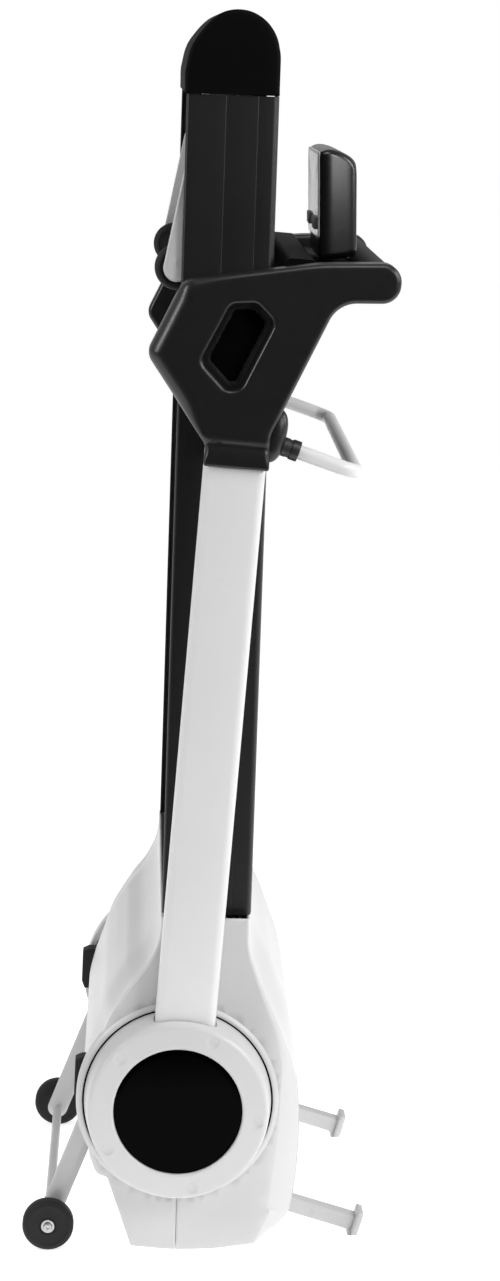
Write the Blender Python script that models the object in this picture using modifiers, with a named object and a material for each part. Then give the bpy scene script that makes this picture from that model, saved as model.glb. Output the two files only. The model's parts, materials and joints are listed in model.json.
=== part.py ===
"""Folding treadmill stored upright on its nose: deck, hood, folding uprights, console, wheels and feet.

Metres, +Z up. +X is the running side of the deck, Y runs across its width, and the floor is z = 0.
The deck and the uprights are drawn in two frames that share the fold axis as their origin:
a is square to the running surface, b runs along the deck towards its rear end.
"""
import math

import bmesh
import bpy
from mathutils import Matrix, Vector

GAP = 0.0003            # between touching pieces
LOOSE = 0.0008          # round a piece that turns or slides

# Stance
DECK_LEAN = math.radians(1.95)
ARM_LEAN = math.radians(5.1)
FOLD_X, FOLD_Z = -0.038, 0.2142

# Deck
DECK_Y = 0.300          # half width over the rails, which every other width follows
RAIL_A = (-0.0275, 0.0845)
RAIL_B = (0.243, 1.283)
RAIL_WALL = 0.003
LEDGE_Y = DECK_Y - 0.075         # inner edge of the foot ledge
TUBE_Y = (DECK_Y - 0.072, DECK_Y - 0.038)
TUBE_A = (0.0, 0.0515)
TUBE_WALL = 0.003
BOARD = 0.018
BELT = 0.002
BELT_Y = DECK_Y - 0.095
ROLLER_R = 0.024
ROLLER_B = (0.195, 1.300)
CAP_WALL = 0.004
CAP_DOME = [(0.0873, -0.03), (0.0873, 0.01), (0.0861, 0.052), (0.0826, 0.070), (0.070, 0.089), (0.0473, 0.1025),
            (0.0275, 0.1046), (0.010, 0.0985), (-0.0069, 0.084), (-0.023, 0.062), (-0.0309, 0.033),
            (-0.030, 0.01), (-0.030, -0.03)]

# Hood
HOOD_Y = DECK_Y + 0.0185
HOOD_WALL = 0.003
SEAM_A = 0.003
HOOD_RUN = [(0.085, 0.2427), (0.088, 0.201), (0.106, 0.155), (0.134, 0.094), (0.149, 0.054),
            (0.158, 0.013), (0.160, -0.052), (0.157, -0.103), (0.149, -0.155), (0.135, -0.175),
            (0.108, -0.190), (0.060, -0.199), (0.004, -0.202)]
HOOD_BACK = [(-0.054, -0.198), (-0.085, -0.124), (-0.105, -0.121), (-0.111, -0.095),
             (-0.118, -0.030), (-0.118, 0.030), (-0.112, 0.070), (-0.096, 0.110),
             (-0.079, 0.136), (-0.055, 0.167), (-0.035, 0.205), (-0.028, 0.2427)]
COLLAR_R = 0.131
COLLAR_LIFT = 0.004
COLLAR_DEEP = 0.026
SHAFT_R = 0.016

# Drive
MOTOR_R, MOTOR_AT = 0.045, (0.050, -0.080)
PULLEY_R, ROLLER_PULLEY_R = 0.012, 0.028
DRIVE_Y = (0.0735 - DECK_Y, 0.0835 - DECK_Y)

# Transport wheels, their legs, and the sliding feet
WHEEL_R, WHEEL_W, WHEEL_Y, WHEEL_X = 0.0335, 0.024, DECK_Y - 0.0295, -0.208
LEG_W, LEG_Y, LEG_SLOPE = 0.034, (DECK_Y - 0.0715, DECK_Y - 0.0515), math.radians(69.5)
FOOT_H, FOOT_W, FOOT_Y = 0.020, 0.025, DECK_Y - 0.088
FOOT_SLOPE = math.radians(17.7)
FOOT_X, FOOT_Z, FOOT_OUT = 0.1958, 0.0131, 0.075

# Rear wheels on their swinging levers
LEVER_HUB, LEVER_HUB_R = (-0.0325, 1.0675), 0.0175
LEVER_PIN, LEVER_PIN_R = (-0.0095, 1.215), 0.013
LEVER_Y = (DECK_Y - 0.020, DECK_Y - 0.010)
REAR_R, REAR_Y = 0.0285, (DECK_Y - 0.0425, DECK_Y - 0.022)

# Uprights
ARM_W, ARM_D, ARM_WALL = 0.078, 0.035, 0.002
ARM_Y = DECK_Y + 0.024           # inner face
ARM_B = (0.1005, 0.880)
RING_R, RING_HOLE = 0.1235, 0.0825
DISC_R = 0.118
CAP_TOP_Y = ARM_Y + 0.0485
GRIP_Y = (ARM_Y - 0.0045, ARM_Y + 0.0425)
GRIP = [(-0.037, 0.828), (-0.037, 0.846), (-0.044, 0.857), (-0.0855, 0.911), (-0.113, 0.949),
        (-0.1165, 0.962), (-0.114, 0.978), (-0.0915, 1.033), (-0.083, 1.047), (-0.070, 1.053),
        (-0.032, 1.065), (0.026, 1.079), (0.0825, 1.089), (0.124, 1.0945), (0.160, 1.0965),
        (0.1765, 1.090), (0.1845, 1.0725), (0.1765, 1.055), (0.160, 1.0485), (0.129, 1.0445),
        (0.112, 1.037), (0.102, 1.025), (0.053, 0.903), (0.061, 0.892), (0.0615, 0.873),
        (0.0555, 0.853), (0.0435, 0.839), (0.043, 0.828)]
RECESS = [(0.005, 1.033), (0.024, 1.023), (0.031, 1.005), (0.003, 0.938), (-0.0115, 0.924),
          (-0.032, 0.9305), (-0.0515, 0.953), (-0.0535, 0.964), (-0.031, 1.019), (-0.019, 1.029)]
RECESS_DEPTH = 0.030
BAR_R, BAR_Y, BAR_BEND = 0.0093, ARM_Y + 0.009, 0.022
BAR_START, BAR_END = (0.048, 0.8605), (0.1525, 0.8325)
GRIP_BAR, GRIP_BAR_R = (0.160, 1.0725), 0.0225
BRIDGE_A, BRIDGE_B = (0.040, 0.1372), (1.060, 1.0903)

# Console, measured from its tilt axis
TILT = (0.1149, 1.1006)
TILT_R = 0.0098
CONSOLE_Y = 0.138
BEZEL_X, BACK_X = (-0.026, -0.0135), (-0.0132, 0.0255)
BEZEL_Z, BACK_TOP = (0.008, 0.1235), 0.1265
BUTTON = 0.016
BUTTON_RISE = 0.0035

PAINTS = {
    "white": ((0.78, 0.78, 0.79), 0.35, 0.0), "silver": ((0.55, 0.56, 0.57), 0.35, 0.8),
    "graphite": ((0.03, 0.03, 0.032), 0.45, 0.3), "black": ((0.01, 0.01, 0.011), 0.5, 0.0),
    "gloss": ((0.005, 0.005, 0.006), 0.06, 0.0), "rubber": ((0.015, 0.015, 0.016), 0.75, 0.0),
    "steel": ((0.45, 0.46, 0.47), 0.3, 1.0), "board": ((0.42, 0.30, 0.18), 0.7, 0.0),
    "green": ((0.05, 0.35, 0.08), 0.4, 0.0), "red": ((0.5, 0.02, 0.02), 0.4, 0.0),
}

for old in list(bpy.data.objects):
    bpy.data.objects.remove(old, do_unlink=True)
PARTS = bpy.data.collections.new("folding_treadmill")
CUTTERS = bpy.data.collections.new("cutters")
CUTTERS.hide_render = True
bpy.context.scene.collection.children.link(PARTS)
bpy.context.scene.collection.children.link(CUTTERS)


def frame(name, place, turn, parent=None):
    """An empty that carries the pieces drawn in its own axes."""
    empty = bpy.data.objects.new(name, None)
    PARTS.objects.link(empty)
    empty.location, empty.rotation_euler, empty.parent = place, (0, turn, 0), parent
    bpy.context.view_layer.update()
    return empty


DECK = frame("deck_frame", (FOLD_X, 0, FOLD_Z), DECK_LEAN)
UPRIGHT = frame("upright_frame", (FOLD_X, 0, FOLD_Z), ARM_LEAN)
CONSOLE = frame("console_frame", (TILT[0], 0, TILT[1]), -ARM_LEAN, UPRIGHT)


def paint(name, look):
    colour, roughness, metallic = PAINTS[look]
    material = bpy.data.materials.new(name)
    material.use_nodes = True
    shader = material.node_tree.nodes["Principled BSDF"]
    shader.inputs["Base Color"].default_value = (*colour, 1)
    shader.inputs["Roughness"].default_value = roughness
    shader.inputs["Metallic"].default_value = metallic
    return material


def piece(name, look, parent, mesh, at=(0, 0, 0)):
    """A named part whose origin is its parent's, or the point at, on its joint axis."""
    mesh.transform(Matrix.Translation(-Vector(at)))
    mesh.shade_smooth()
    mesh.set_sharp_from_angle(angle=math.radians(30))
    obj = bpy.data.objects.new(name, mesh)
    obj.location, obj.parent = at, parent
    mesh.materials.append(paint(name, look))
    PARTS.objects.link(obj)
    return obj


def shape(obj, mesh, operation="DIFFERENCE", parent="same"):
    """Cuts a mesh from the part, or joins it on."""
    tool = bpy.data.objects.new(obj.name + "_tool", mesh)
    tool.hide_render, tool.display_type = True, "WIRE"
    tool.parent = obj.parent if parent == "same" else parent
    CUTTERS.objects.link(tool)
    step = obj.modifiers.new(operation.lower(), "BOOLEAN")
    step.solver, step.operation, step.object = "EXACT", operation, tool
    return obj


def to_mesh(build):
    data = bpy.data.meshes.new("piece")
    build.to_mesh(data)
    build.free()
    return data


def evaluated(holder):
    """The closed surface that a curve or a modifier makes, with its seams welded and facing out."""
    data = bpy.data.meshes.new_from_object(holder.evaluated_get(bpy.context.evaluated_depsgraph_get()))
    bpy.data.objects.remove(holder)
    build = bmesh.new()
    build.from_mesh(data)
    bmesh.ops.remove_doubles(build, verts=build.verts, dist=1e-6)
    bmesh.ops.recalc_face_normals(build, faces=build.faces)
    return build


def block(x, y, z, turn=0.0, at=(0, 0, 0), soft=0.0):
    """A box from three (low, high) pairs, turned about Y and then moved."""
    build = bmesh.new()
    bmesh.ops.create_cube(build, size=1)
    bmesh.ops.scale(build, vec=(x[1] - x[0], y[1] - y[0], z[1] - z[0]), verts=build.verts)
    bmesh.ops.translate(build, vec=((x[0] + x[1]) / 2, (y[0] + y[1]) / 2, (z[0] + z[1]) / 2), verts=build.verts)
    if soft:
        bmesh.ops.bevel(build, geom=build.edges[:], offset=soft, segments=2, affect="EDGES", profile=0.5)
    build.transform(Matrix.Translation(at) @ Matrix.Rotation(turn, 4, "Y"))
    return to_mesh(build)


def rod(radius, y, at, steps=28, end_radius=None):
    """A round bar along Y through the point (a, b)."""
    build = bmesh.new()
    bmesh.ops.create_cone(build, cap_ends=True, segments=steps, radius1=radius,
                          radius2=radius if end_radius is None else end_radius, depth=y[1] - y[0])
    build.transform(Matrix.Translation((at[0], (y[0] + y[1]) / 2, at[1])) @ Matrix.Rotation(math.pi / 2, 4, "X"))
    bmesh.ops.recalc_face_normals(build, faces=build.faces)
    return to_mesh(build)


def turned(profile, at, side=1, steps=24):
    """A closed (radius, y) outline turned about the Y axis through (a, b); side -1 faces it the other way."""
    n = len(profile)
    data = bpy.data.meshes.new("profile")
    data.from_pydata([(r, 0, y) for r, y in profile], [(i, (i + 1) % n) for i in range(n)], [])
    holder = bpy.data.objects.new("profile", data)
    PARTS.objects.link(holder)
    screw = holder.modifiers.new("screw", "SCREW")
    screw.steps = screw.render_steps = steps
    screw.use_merge_vertices, screw.merge_threshold = True, 1e-6
    build = evaluated(holder)
    bmesh.ops.dissolve_degenerate(build, edges=build.edges, dist=1e-6)
    build.transform(Matrix.Translation((at[0], 0, at[1])) @ Matrix.Rotation(-side * math.pi / 2, 4, "X"))
    bmesh.ops.recalc_face_normals(build, faces=build.faces)
    return to_mesh(build)


def sheet(rings, thick, bevel=0.0, smooth=0):
    """A flat outline, with any holes, given thickness either side of its plane."""
    curve = bpy.data.curves.new("outline", "CURVE")
    curve.dimensions, curve.fill_mode = "2D", "BOTH"
    curve.extrude, curve.bevel_depth, curve.offset = thick / 2 - bevel, bevel, -bevel
    curve.bevel_resolution, curve.resolution_u = 1, max(smooth, 1)
    for ring in rings:
        spline = curve.splines.new("BEZIER" if smooth else "POLY")
        points = spline.bezier_points if smooth else spline.points
        points.add(len(ring) - 1)
        for point, (u, v) in zip(points, ring):
            point.co = (u, v, 0) if smooth else (u, v, 0, 1)
            if smooth:
                point.handle_left_type = point.handle_right_type = "AUTO"
        spline.use_cyclic_u = True
    holder = bpy.data.objects.new("outline", curve)
    PARTS.objects.link(holder)
    return evaluated(holder)


def plate(outline, y, holes=(), bevel=0.0, smooth=0):
    """An (a, b) outline with thickness along Y."""
    build = sheet([outline, *holes], y[1] - y[0], bevel, smooth)
    build.transform(Matrix.Translation((0, (y[0] + y[1]) / 2, 0)) @ Matrix.Rotation(math.pi / 2, 4, "X"))
    return to_mesh(build)


def bar(section, b, holes=()):
    """An (a, y) section run along b."""
    build = sheet([section, *holes], b[1] - b[0])
    build.transform(Matrix.Translation((0, 0, (b[0] + b[1]) / 2)))
    return to_mesh(build)


def inset(outline, by):
    """The closed outline moved inwards; it runs clockwise or not, the sign of its area tells."""
    n = len(outline)
    area = sum(outline[i - 1][0] * outline[i][1] - outline[i][0] * outline[i - 1][1] for i in range(n))
    moved = []
    for i in range(n):
        before, here, after = (Vector(outline[(i + k) % n]) for k in (-1, 0, 1))
        d1, d2 = (here - before).normalized(), (after - here).normalized()
        n1, n2 = Vector((-d1.y, d1.x)), Vector((-d2.y, d2.x))
        normal = (n1 + n2).normalized() * (1 if area > 0 else -1)
        moved.append(tuple(here + normal * by / max(0.6, abs(normal.dot(n1)))))
    return moved


def circle(radius, at=(0, 0), steps=40):
    return [(at[0] + radius * math.cos(math.tau * i / steps), at[1] + radius * math.sin(math.tau * i / steps))
            for i in range(steps)]


def two_circles(r1, c1, r2, c2, steps=10):
    """The outline of a belt round two circles, its flats outside them."""
    r1, r2 = (r / math.cos(math.pi / 2 / steps * 1.1) for r in (r1, r2))
    line = Vector(c2) - Vector(c1)
    heading = math.atan2(line.y, line.x)
    lean = math.acos((r1 - r2) / line.length)
    first = [heading + lean + (math.tau - 2 * lean) * i / steps for i in range(steps + 1)]
    second = [heading - lean + 2 * lean * i / steps for i in range(steps + 1)]
    return ([(c1[0] + r1 * math.cos(t), c1[1] + r1 * math.sin(t)) for t in first]
            + [(c2[0] + r2 * math.cos(t), c2[1] + r2 * math.sin(t)) for t in second])


def rounded(u, v, radius, steps=4):
    """A rounded rectangle from two (low, high) pairs."""
    corners = ((u[1], v[1], 0), (u[0], v[1], 1), (u[0], v[0], 2), (u[1], v[0], 3))
    return [(cu + (radius * (math.cos(t) - (1 if q in (0, 3) else -1))),
             cv + (radius * (math.sin(t) - (1 if q in (0, 1) else -1))))
            for cu, cv, q in corners
            for t in [math.pi / 2 * (q + i / steps) for i in range(steps + 1)]]


def both(y, side):
    return (y[0], y[1]) if side > 0 else (-y[1], -y[0])


def tube(points, radius, steps=2):
    """A round bar along a bent centre line."""
    curve = bpy.data.curves.new("line", "CURVE")
    curve.dimensions, curve.bevel_depth = "3D", radius
    curve.bevel_resolution, curve.use_fill_caps = steps, True
    spline = curve.splines.new("POLY")
    spline.points.add(len(points) - 1)
    for point, co in zip(spline.points, points):
        point.co = (*co, 1)
    holder = bpy.data.objects.new("line", curve)
    PARTS.objects.link(holder)
    return to_mesh(evaluated(holder))


def in_deck(x, z):
    """A world point as (a, b) of the deck."""
    local = DECK.matrix_world.inverted() @ Vector((x, 0, z))
    return local.x, local.z


SIDES = (("left", -1), ("right", 1))

# ---------------------------------------------------------------- deck
belt_a = RAIL_A[1] - 0.010
roller_a = belt_a - BELT - ROLLER_R - GAP
board_top = belt_a - BELT - 2 * GAP
board_low = board_top - BOARD
tube_top = board_low - GAP
wheel_at = in_deck(WHEEL_X, WHEEL_R)
PLATE_A, PLATE_B = (-0.045, 0.075), (-0.170, 0.120)

for word, side in SIDES:
    lip = DECK_Y - 0.0075
    section = [(RAIL_A[0], lip), (RAIL_A[0], DECK_Y), (RAIL_A[1], DECK_Y), (RAIL_A[1], LEDGE_Y),
               (RAIL_A[1] - RAIL_WALL, LEDGE_Y), (RAIL_A[1] - RAIL_WALL, DECK_Y - RAIL_WALL),
               (RAIL_A[0] + RAIL_WALL, DECK_Y - RAIL_WALL), (RAIL_A[0] + RAIL_WALL, lip)]
    piece("rail_" + word, "graphite", DECK, bar([(a, side * y) for a, y in section], (RAIL_B[0] + GAP, RAIL_B[1] - GAP)))

    tube_y = both(TUBE_Y, side)
    web = both((TUBE_Y[0], TUBE_Y[0] + 2 * TUBE_WALL), side)
    beam = piece("frame_side_" + word, "white", DECK,
                 block((TUBE_A[0], tube_top), tube_y, (PLATE_B[1] - 0.01, ROLLER_B[1] + 0.018)))
    inner = both((TUBE_Y[0] + TUBE_WALL, TUBE_Y[1] - TUBE_WALL), side)
    shape(beam, block((TUBE_A[0] + TUBE_WALL, tube_top - TUBE_WALL), inner, (PLATE_B[1], ROLLER_B[1] + 0.05)))
    shape(beam, block(PLATE_A, web, PLATE_B), "UNION")
    shape(beam, rod(SHAFT_R + GAP, both((TUBE_Y[0] - 0.01, TUBE_Y[1] + 0.01), side), (0, 0)))

rib = TUBE_Y[0] - GAP
for name, b in (("cross_member_mid", 0.560), ("cross_member_rear", 1.130)):
    low, high, wall = roller_a - ROLLER_R + 0.004, tube_top, 0.003
    half = 0.025
    piece(name, "white", DECK, plate([(low, b - half), (high, b - half), (high, b - half + wall),
          (low + wall, b - half + wall), (low + wall, b + half - wall), (high, b + half - wall),
          (high, b + half), (low, b + half)], (-rib, rib)))
motor_plate = piece("motor_plate", "white", DECK, block((-0.003, 0.0045), (-rib, rib), (-0.145, -0.022)))

piece("deck_board", "board", DECK, block((board_low, board_top), (-TUBE_Y[1], TUBE_Y[1]), (0.252, 1.255)))
rollers = [(roller_a, b) for b in ROLLER_B]
piece("running_belt", "rubber", DECK,
      plate(two_circles(ROLLER_R + GAP + BELT, rollers[0], ROLLER_R + GAP + BELT, rollers[1]), (-BELT_Y, BELT_Y),
            [two_circles(ROLLER_R + GAP, rollers[0], ROLLER_R + GAP, rollers[1])]))
axle_y = TUBE_Y[0] - GAP
face = BELT_Y + 0.0085
piece("front_roller", "silver", DECK,
      turned([(0, axle_y), (0.008, axle_y), (0.008, face), (ROLLER_R, face), (ROLLER_R, -face), (0.010, -face),
              (0.010, DRIVE_Y[1] + 0.0005), (ROLLER_PULLEY_R, DRIVE_Y[1] + 0.0005), (ROLLER_PULLEY_R, -axle_y),
              (0, -axle_y)], rollers[0], steps=24), (roller_a, 0, ROLLER_B[0]))
piece("rear_roller", "silver", DECK,
      turned([(0, axle_y), (0.008, axle_y), (0.008, face), (ROLLER_R, face), (ROLLER_R, -face), (0.008, -face),
              (0.008, -axle_y), (0, -axle_y)], rollers[1], steps=24), (roller_a, 0, ROLLER_B[1]))

dome = [(a, RAIL_B[1] + b) for a, b in CAP_DOME]
cap_y = DECK_Y + 0.0025
cap = piece("rear_end_cap", "black", DECK, plate(dome, (-cap_y, cap_y), bevel=0.003, smooth=2))
shape(cap, plate(inset(dome, CAP_WALL), (CAP_WALL - cap_y, cap_y - CAP_WALL), smooth=2))
shape(cap, block((-0.2, 0.2), (-0.5, 0.5), (RAIL_B[1] - 0.1, RAIL_B[1])))

# ---------------------------------------------------------------- drive
piece("motor", "steel", DECK, rod(MOTOR_R, (-0.150, 0.060), MOTOR_AT, 32))
piece("motor_pulley", "steel", DECK,
      turned([(0, DRIVE_Y[0]), (PULLEY_R, DRIVE_Y[0]), (PULLEY_R, DRIVE_Y[1]), (0.006, DRIVE_Y[1]),
              (0.006, -0.150 - GAP), (0, -0.150 - GAP)], MOTOR_AT, steps=24), (MOTOR_AT[0], 0, MOTOR_AT[1]))
piece("drive_belt", "rubber", DECK,
      plate(two_circles(PULLEY_R + 0.003, MOTOR_AT, ROLLER_PULLEY_R + 0.003, rollers[0]), DRIVE_Y,
            [two_circles(PULLEY_R + GAP, MOTOR_AT, ROLLER_PULLEY_R + GAP, rollers[0])]))
piece("controller", "silver", DECK, block((-0.040, -0.003 - GAP), (-0.120, 0.120), (-0.135, -0.030)))
shaft_end = HOOD_Y + COLLAR_LIFT
piece("fold_shaft", "steel", DECK, rod(SHAFT_R, (-shaft_end, shaft_end), (0, 0), 32))

# ---------------------------------------------------------------- hood in two shells
outline = HOOD_RUN + HOOD_BACK


def hood(name, keep, bevel):
    shell = piece(name, "white", DECK, plate(outline, (-HOOD_Y, HOOD_Y), bevel=bevel))
    for side in (1, -1):
        boss = both((HOOD_Y - COLLAR_DEEP, shaft_end), side)
        shape(shell, rod(COLLAR_R, boss, (0, 0), 40), "UNION")
        shape(shell, rod(RING_R + 0.002, both((HOOD_Y, HOOD_Y + 0.02), side), (0, 0), 40))
    shape(shell, plate(inset(outline, HOOD_WALL), (HOOD_WALL - HOOD_Y, HOOD_Y - HOOD_WALL),
                       bevel=max(bevel - HOOD_WALL, 0.001)))
    mouth = DECK_Y - HOOD_WALL
    shape(shell, block((RAIL_A[0] + HOOD_WALL, RAIL_A[1] - HOOD_WALL), (-mouth, mouth), (0.15, 0.30)))
    shape(shell, rod(SHAFT_R + GAP, (-0.5, 0.5), (0, 0), 32))
    away = (-0.4, SEAM_A + GAP / 2) if keep > 0 else (SEAM_A - GAP / 2, 0.4)
    return shape(shell, block(away, (-0.5, 0.5), (-0.5, 0.5)))


hood_top = hood("hood_top", 1, 0.014)
hood_pan = hood("hood_pan", -1, 0.003)

# ---------------------------------------------------------------- feet that slide out under the running side
FOOT = frame("foot_frame", (FOOT_X, 0, FOOT_Z), FOOT_SLOPE)
for word, side in SIDES:
    wide = both((FOOT_Y - FOOT_W / 2, FOOT_Y + FOOT_W / 2), side)
    pad = both((FOOT_Y - 0.0215, FOOT_Y + 0.0215), side)
    foot = piece("foot_" + word, "white", FOOT, block((-0.205, 0.001), wide, (-FOOT_H / 2, FOOT_H / 2)))
    shape(foot, block((0, 0.008), pad, (-0.030, 0.019)), "UNION")
    shape(foot, block((-1, 1), (-1, 1), (-0.2, 0)), parent=None)
    around = both((FOOT_Y - FOOT_W / 2 - 0.003, TUBE_Y[0] - GAP), side)
    sleeve = piece("foot_sleeve_" + word, "steel", FOOT,
                   block((-0.200, -0.119), around, (-FOOT_H / 2 - 0.003, FOOT_H / 2 + 0.003)))
    passage = both((FOOT_Y - FOOT_W / 2 - GAP, FOOT_Y + FOOT_W / 2 + GAP), side)
    shape(sleeve, block((-0.3, 0.1), passage, (-FOOT_H / 2 - GAP, FOOT_H / 2 + GAP)))
    doorway = both((FOOT_Y - FOOT_W / 2 - LOOSE, FOOT_Y + FOOT_W / 2 + LOOSE), side)
    shape(hood_top, block((-0.120, 0.05), doorway, (-FOOT_H / 2 - LOOSE, FOOT_H / 2 + LOOSE)), parent=FOOT)
    shape(motor_plate, block((-0.3, 0.05), doorway, (-FOOT_H / 2 - LOOSE, FOOT_H / 2 + LOOSE)), parent=FOOT)

# ---------------------------------------------------------------- legs and transport wheels
LEG_LONG = 0.190
for word, side in SIDES:
    leg_y = both(LEG_Y, side)
    turn = math.pi / 2 - LEG_SLOPE
    at = (wheel_at[0], 0, wheel_at[1])
    leg = piece("leg_" + word, "silver", DECK,
                block((-LEG_W / 2, LEG_W / 2), leg_y, (0, LEG_LONG), turn, at))
    shape(leg, rod(LEG_W / 2, both((LEG_Y[0] + 0.0001, LEG_Y[1] - 0.0001), side), wheel_at), "UNION")
    shape(leg, block((PLATE_A[0] - GAP, 0.3), (-0.5, 0.5), (-0.3, 0.3)))
    shape(hood_pan, block((-LEG_W / 2 - GAP, LEG_W / 2 + GAP), both((LEG_Y[0] - GAP, LEG_Y[1] + GAP), side),
                          (0.020, LEG_LONG), turn, at))
    half = WHEEL_W / 2
    wheel_y = (WHEEL_Y - half, WHEEL_Y + half)
    wheel = piece("front_wheel_" + word, "rubber", DECK,
                  turned([(0.0055, wheel_y[0]), (0.0055, wheel_y[1]), (0.026, wheel_y[1]), (0.031, wheel_y[1] - 0.0015),
                          (WHEEL_R, wheel_y[1] - 0.005), (WHEEL_R, wheel_y[0] + 0.005), (0.031, wheel_y[0] + 0.0015),
                          (0.026, wheel_y[0])], wheel_at, side), at)
    inner_end = LEG_Y[1] + GAP
    piece("wheel_bolt_" + word, "steel", DECK,
          turned([(0, inner_end), (0.009, inner_end), (0.009, wheel_y[0] - LOOSE), (0.005, wheel_y[0] - LOOSE),
                  (0.005, wheel_y[1] + GAP), (0.0105, wheel_y[1] + GAP), (0.0105, wheel_y[1] + 0.002),
                  (0.006, wheel_y[1] + 0.002), (0.006, wheel_y[1] + 0.006), (0, wheel_y[1] + 0.006)],
                 wheel_at, side, 24))
    piece("floor_pad_" + word, "rubber", DECK,
          block((-0.1345, -0.118 - GAP), both((TUBE_Y[1], LEVER_Y[1]), side), (-0.013, 0.029), soft=0.002))
brace = LEG_Y[0] - GAP
piece("wheel_brace", "silver", DECK, rod(0.006, (-brace, brace), wheel_at, 20))

# ---------------------------------------------------------------- rear wheel levers
for word, side in SIDES:
    lever = piece("lever_" + word, "silver", DECK,
                  plate(two_circles(LEVER_HUB_R, LEVER_HUB, LEVER_PIN_R, LEVER_PIN), both(LEVER_Y, side)),
                  (LEVER_PIN[0], 0, LEVER_PIN[1]))
    shape(lever, rod(0.006, both((REAR_Y[0] - 0.002, LEVER_Y[0] + 0.002), side), LEVER_HUB, 20), "UNION")
    piece("rear_wheel_" + word, "rubber", DECK,
          turned([(0.006 + LOOSE, REAR_Y[0]), (0.006 + LOOSE, REAR_Y[1]), (0.024, REAR_Y[1]), (REAR_R, REAR_Y[1] - 0.004),
                  (REAR_R, REAR_Y[0] + 0.004), (0.024, REAR_Y[0])], LEVER_HUB, side, 32),
          (LEVER_HUB[0], 0, LEVER_HUB[1]))
reach = LEVER_Y[0] - GAP
piece("lever_shaft", "silver", DECK, rod(0.009, (-reach, reach), LEVER_PIN, 24), (LEVER_PIN[0], 0, LEVER_PIN[1]))

# ---------------------------------------------------------------- mains inlet with its rocker switch
top_of, foot_of = Vector(HOOD_BACK[1]), Vector(HOOD_BACK[0])
middle = (top_of + foot_of) / 2
lean = math.atan2((top_of - foot_of).x, (top_of - foot_of).y)
MAINS = frame("mains_frame", (middle.x, 0, middle.y), lean, DECK)
MAINS_Y, MAINS_H = (0.100, 0.160), 0.012
inlet = piece("power_inlet", "black", MAINS, block((-0.0012, 0.021), MAINS_Y, (-MAINS_H, MAINS_H)))
shape(inlet, block((-0.01, 0.014), (0.105, 0.131), (-0.009, 0.009)))
shape(inlet, block((-0.01, 0.013), (0.138, 0.153), (-0.0105, 0.0105)))
for y in (0.111, 0.118, 0.125):
    shape(inlet, block((0.0065, 0.015), (y - 0.001, y + 0.001), (-0.003, 0.003)), "UNION")
shape(hood_pan, block((-0.02, 0.03), (MAINS_Y[0] - GAP, MAINS_Y[1] + GAP), (-MAINS_H - GAP, MAINS_H + GAP)), parent=MAINS)
piece("power_rocker", "red", MAINS, block((-0.0025, 0.0095), (0.1395, 0.1515), (-0.0085, 0.0085), soft=0.001),
      (0.004, 0, 0))

# ---------------------------------------------------------------- uprights
cut_b = ARM_B[0] - 0.0005
for word, side in SIDES:
    y = both((ARM_Y, ARM_Y + ARM_D), side)
    section = rounded((-ARM_W / 2, ARM_W / 2), y, 0.0165)
    arm = piece("arm_" + word, "white", UPRIGHT, bar(section, ARM_B))
    hole = rounded((ARM_WALL - ARM_W / 2, ARM_W / 2 - ARM_WALL), (y[0] + ARM_WALL, y[1] - ARM_WALL), 0.0145)
    shape(arm, bar(hole, (ARM_B[0] + 0.004, ARM_B[1] + 0.02)))
    shape(arm, rod(DISC_R, both((HOOD_Y + COLLAR_LIFT + 0.0007, ARM_Y + 0.0022), side), (0, 0), 40), "UNION")
    seat = ARM_Y + 0.0025
    ring = piece("ring_cover_" + word, "white", UPRIGHT,
                 turned([(DISC_R + 0.001, HOOD_Y + 0.0005), (RING_R, HOOD_Y + 0.0005), (RING_R, ARM_Y + 0.007),
                         (0.121, ARM_Y + 0.0145), (0.113, ARM_Y + 0.021), (0.102, ARM_Y + 0.0255), (0.088, ARM_Y + 0.028),
                         (RING_HOLE, ARM_Y + 0.026), (RING_HOLE, seat),
                         (DISC_R + 0.001, seat)], (0, 0), side, 36))
    room = ARM_W / 2 + 0.0005
    shape(ring, block((-room, room), both((ARM_Y - 0.002, ARM_Y + 0.1), side), (cut_b, 0.2)))
    shape(ring, block((-room, room), both((ARM_Y - 0.014, ARM_Y), side), (DISC_R - 0.005, 0.2)))
    edge = RING_HOLE - GAP
    piece("hub_cap_" + word, "gloss", UPRIGHT,
          turned([(0, seat), (edge, seat), (edge, CAP_TOP_Y - 0.006), (edge - 0.003, CAP_TOP_Y - 0.0015),
                  (edge - 0.008, CAP_TOP_Y), (0, CAP_TOP_Y)], (0, 0), side, 36))
    grip_y = both(GRIP_Y, side)
    grip = piece("handle_" + word, "black", UPRIGHT, plate(GRIP, grip_y, bevel=0.009, smooth=2))
    room = ARM_W / 2 + GAP
    shape(grip, bar(rounded((-room, room), (y[0] - GAP, y[1] + GAP), 0.0168), (0.7, ARM_B[1] + GAP)))
    shape(grip, plate(RECESS, both((GRIP_Y[1] - RECESS_DEPTH, GRIP_Y[1] + 0.02), side), smooth=2))
    run = (Vector(BAR_END) - Vector(BAR_START)).normalized()
    back = Vector(BAR_START) - run * 0.001
    front = Vector(BAR_START) + run * 0.060
    shape(grip, tube([(back.x, side * BAR_Y, back.y), (front.x, side * BAR_Y, front.y)], BAR_R + GAP, 3))
    near, far = (Vector(BAR_START) + run * s for s in (0.0165, 0.0315))
    collar = piece("bar_collar_" + word, "black", UPRIGHT,
                   tube([(near.x, side * BAR_Y, near.y), (far.x, side * BAR_Y, far.y)], BAR_R + 0.003, 3))
    shape(collar, tube([(back.x, side * BAR_Y, back.y), (front.x, side * BAR_Y, front.y)], BAR_R + GAP, 3))

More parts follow.
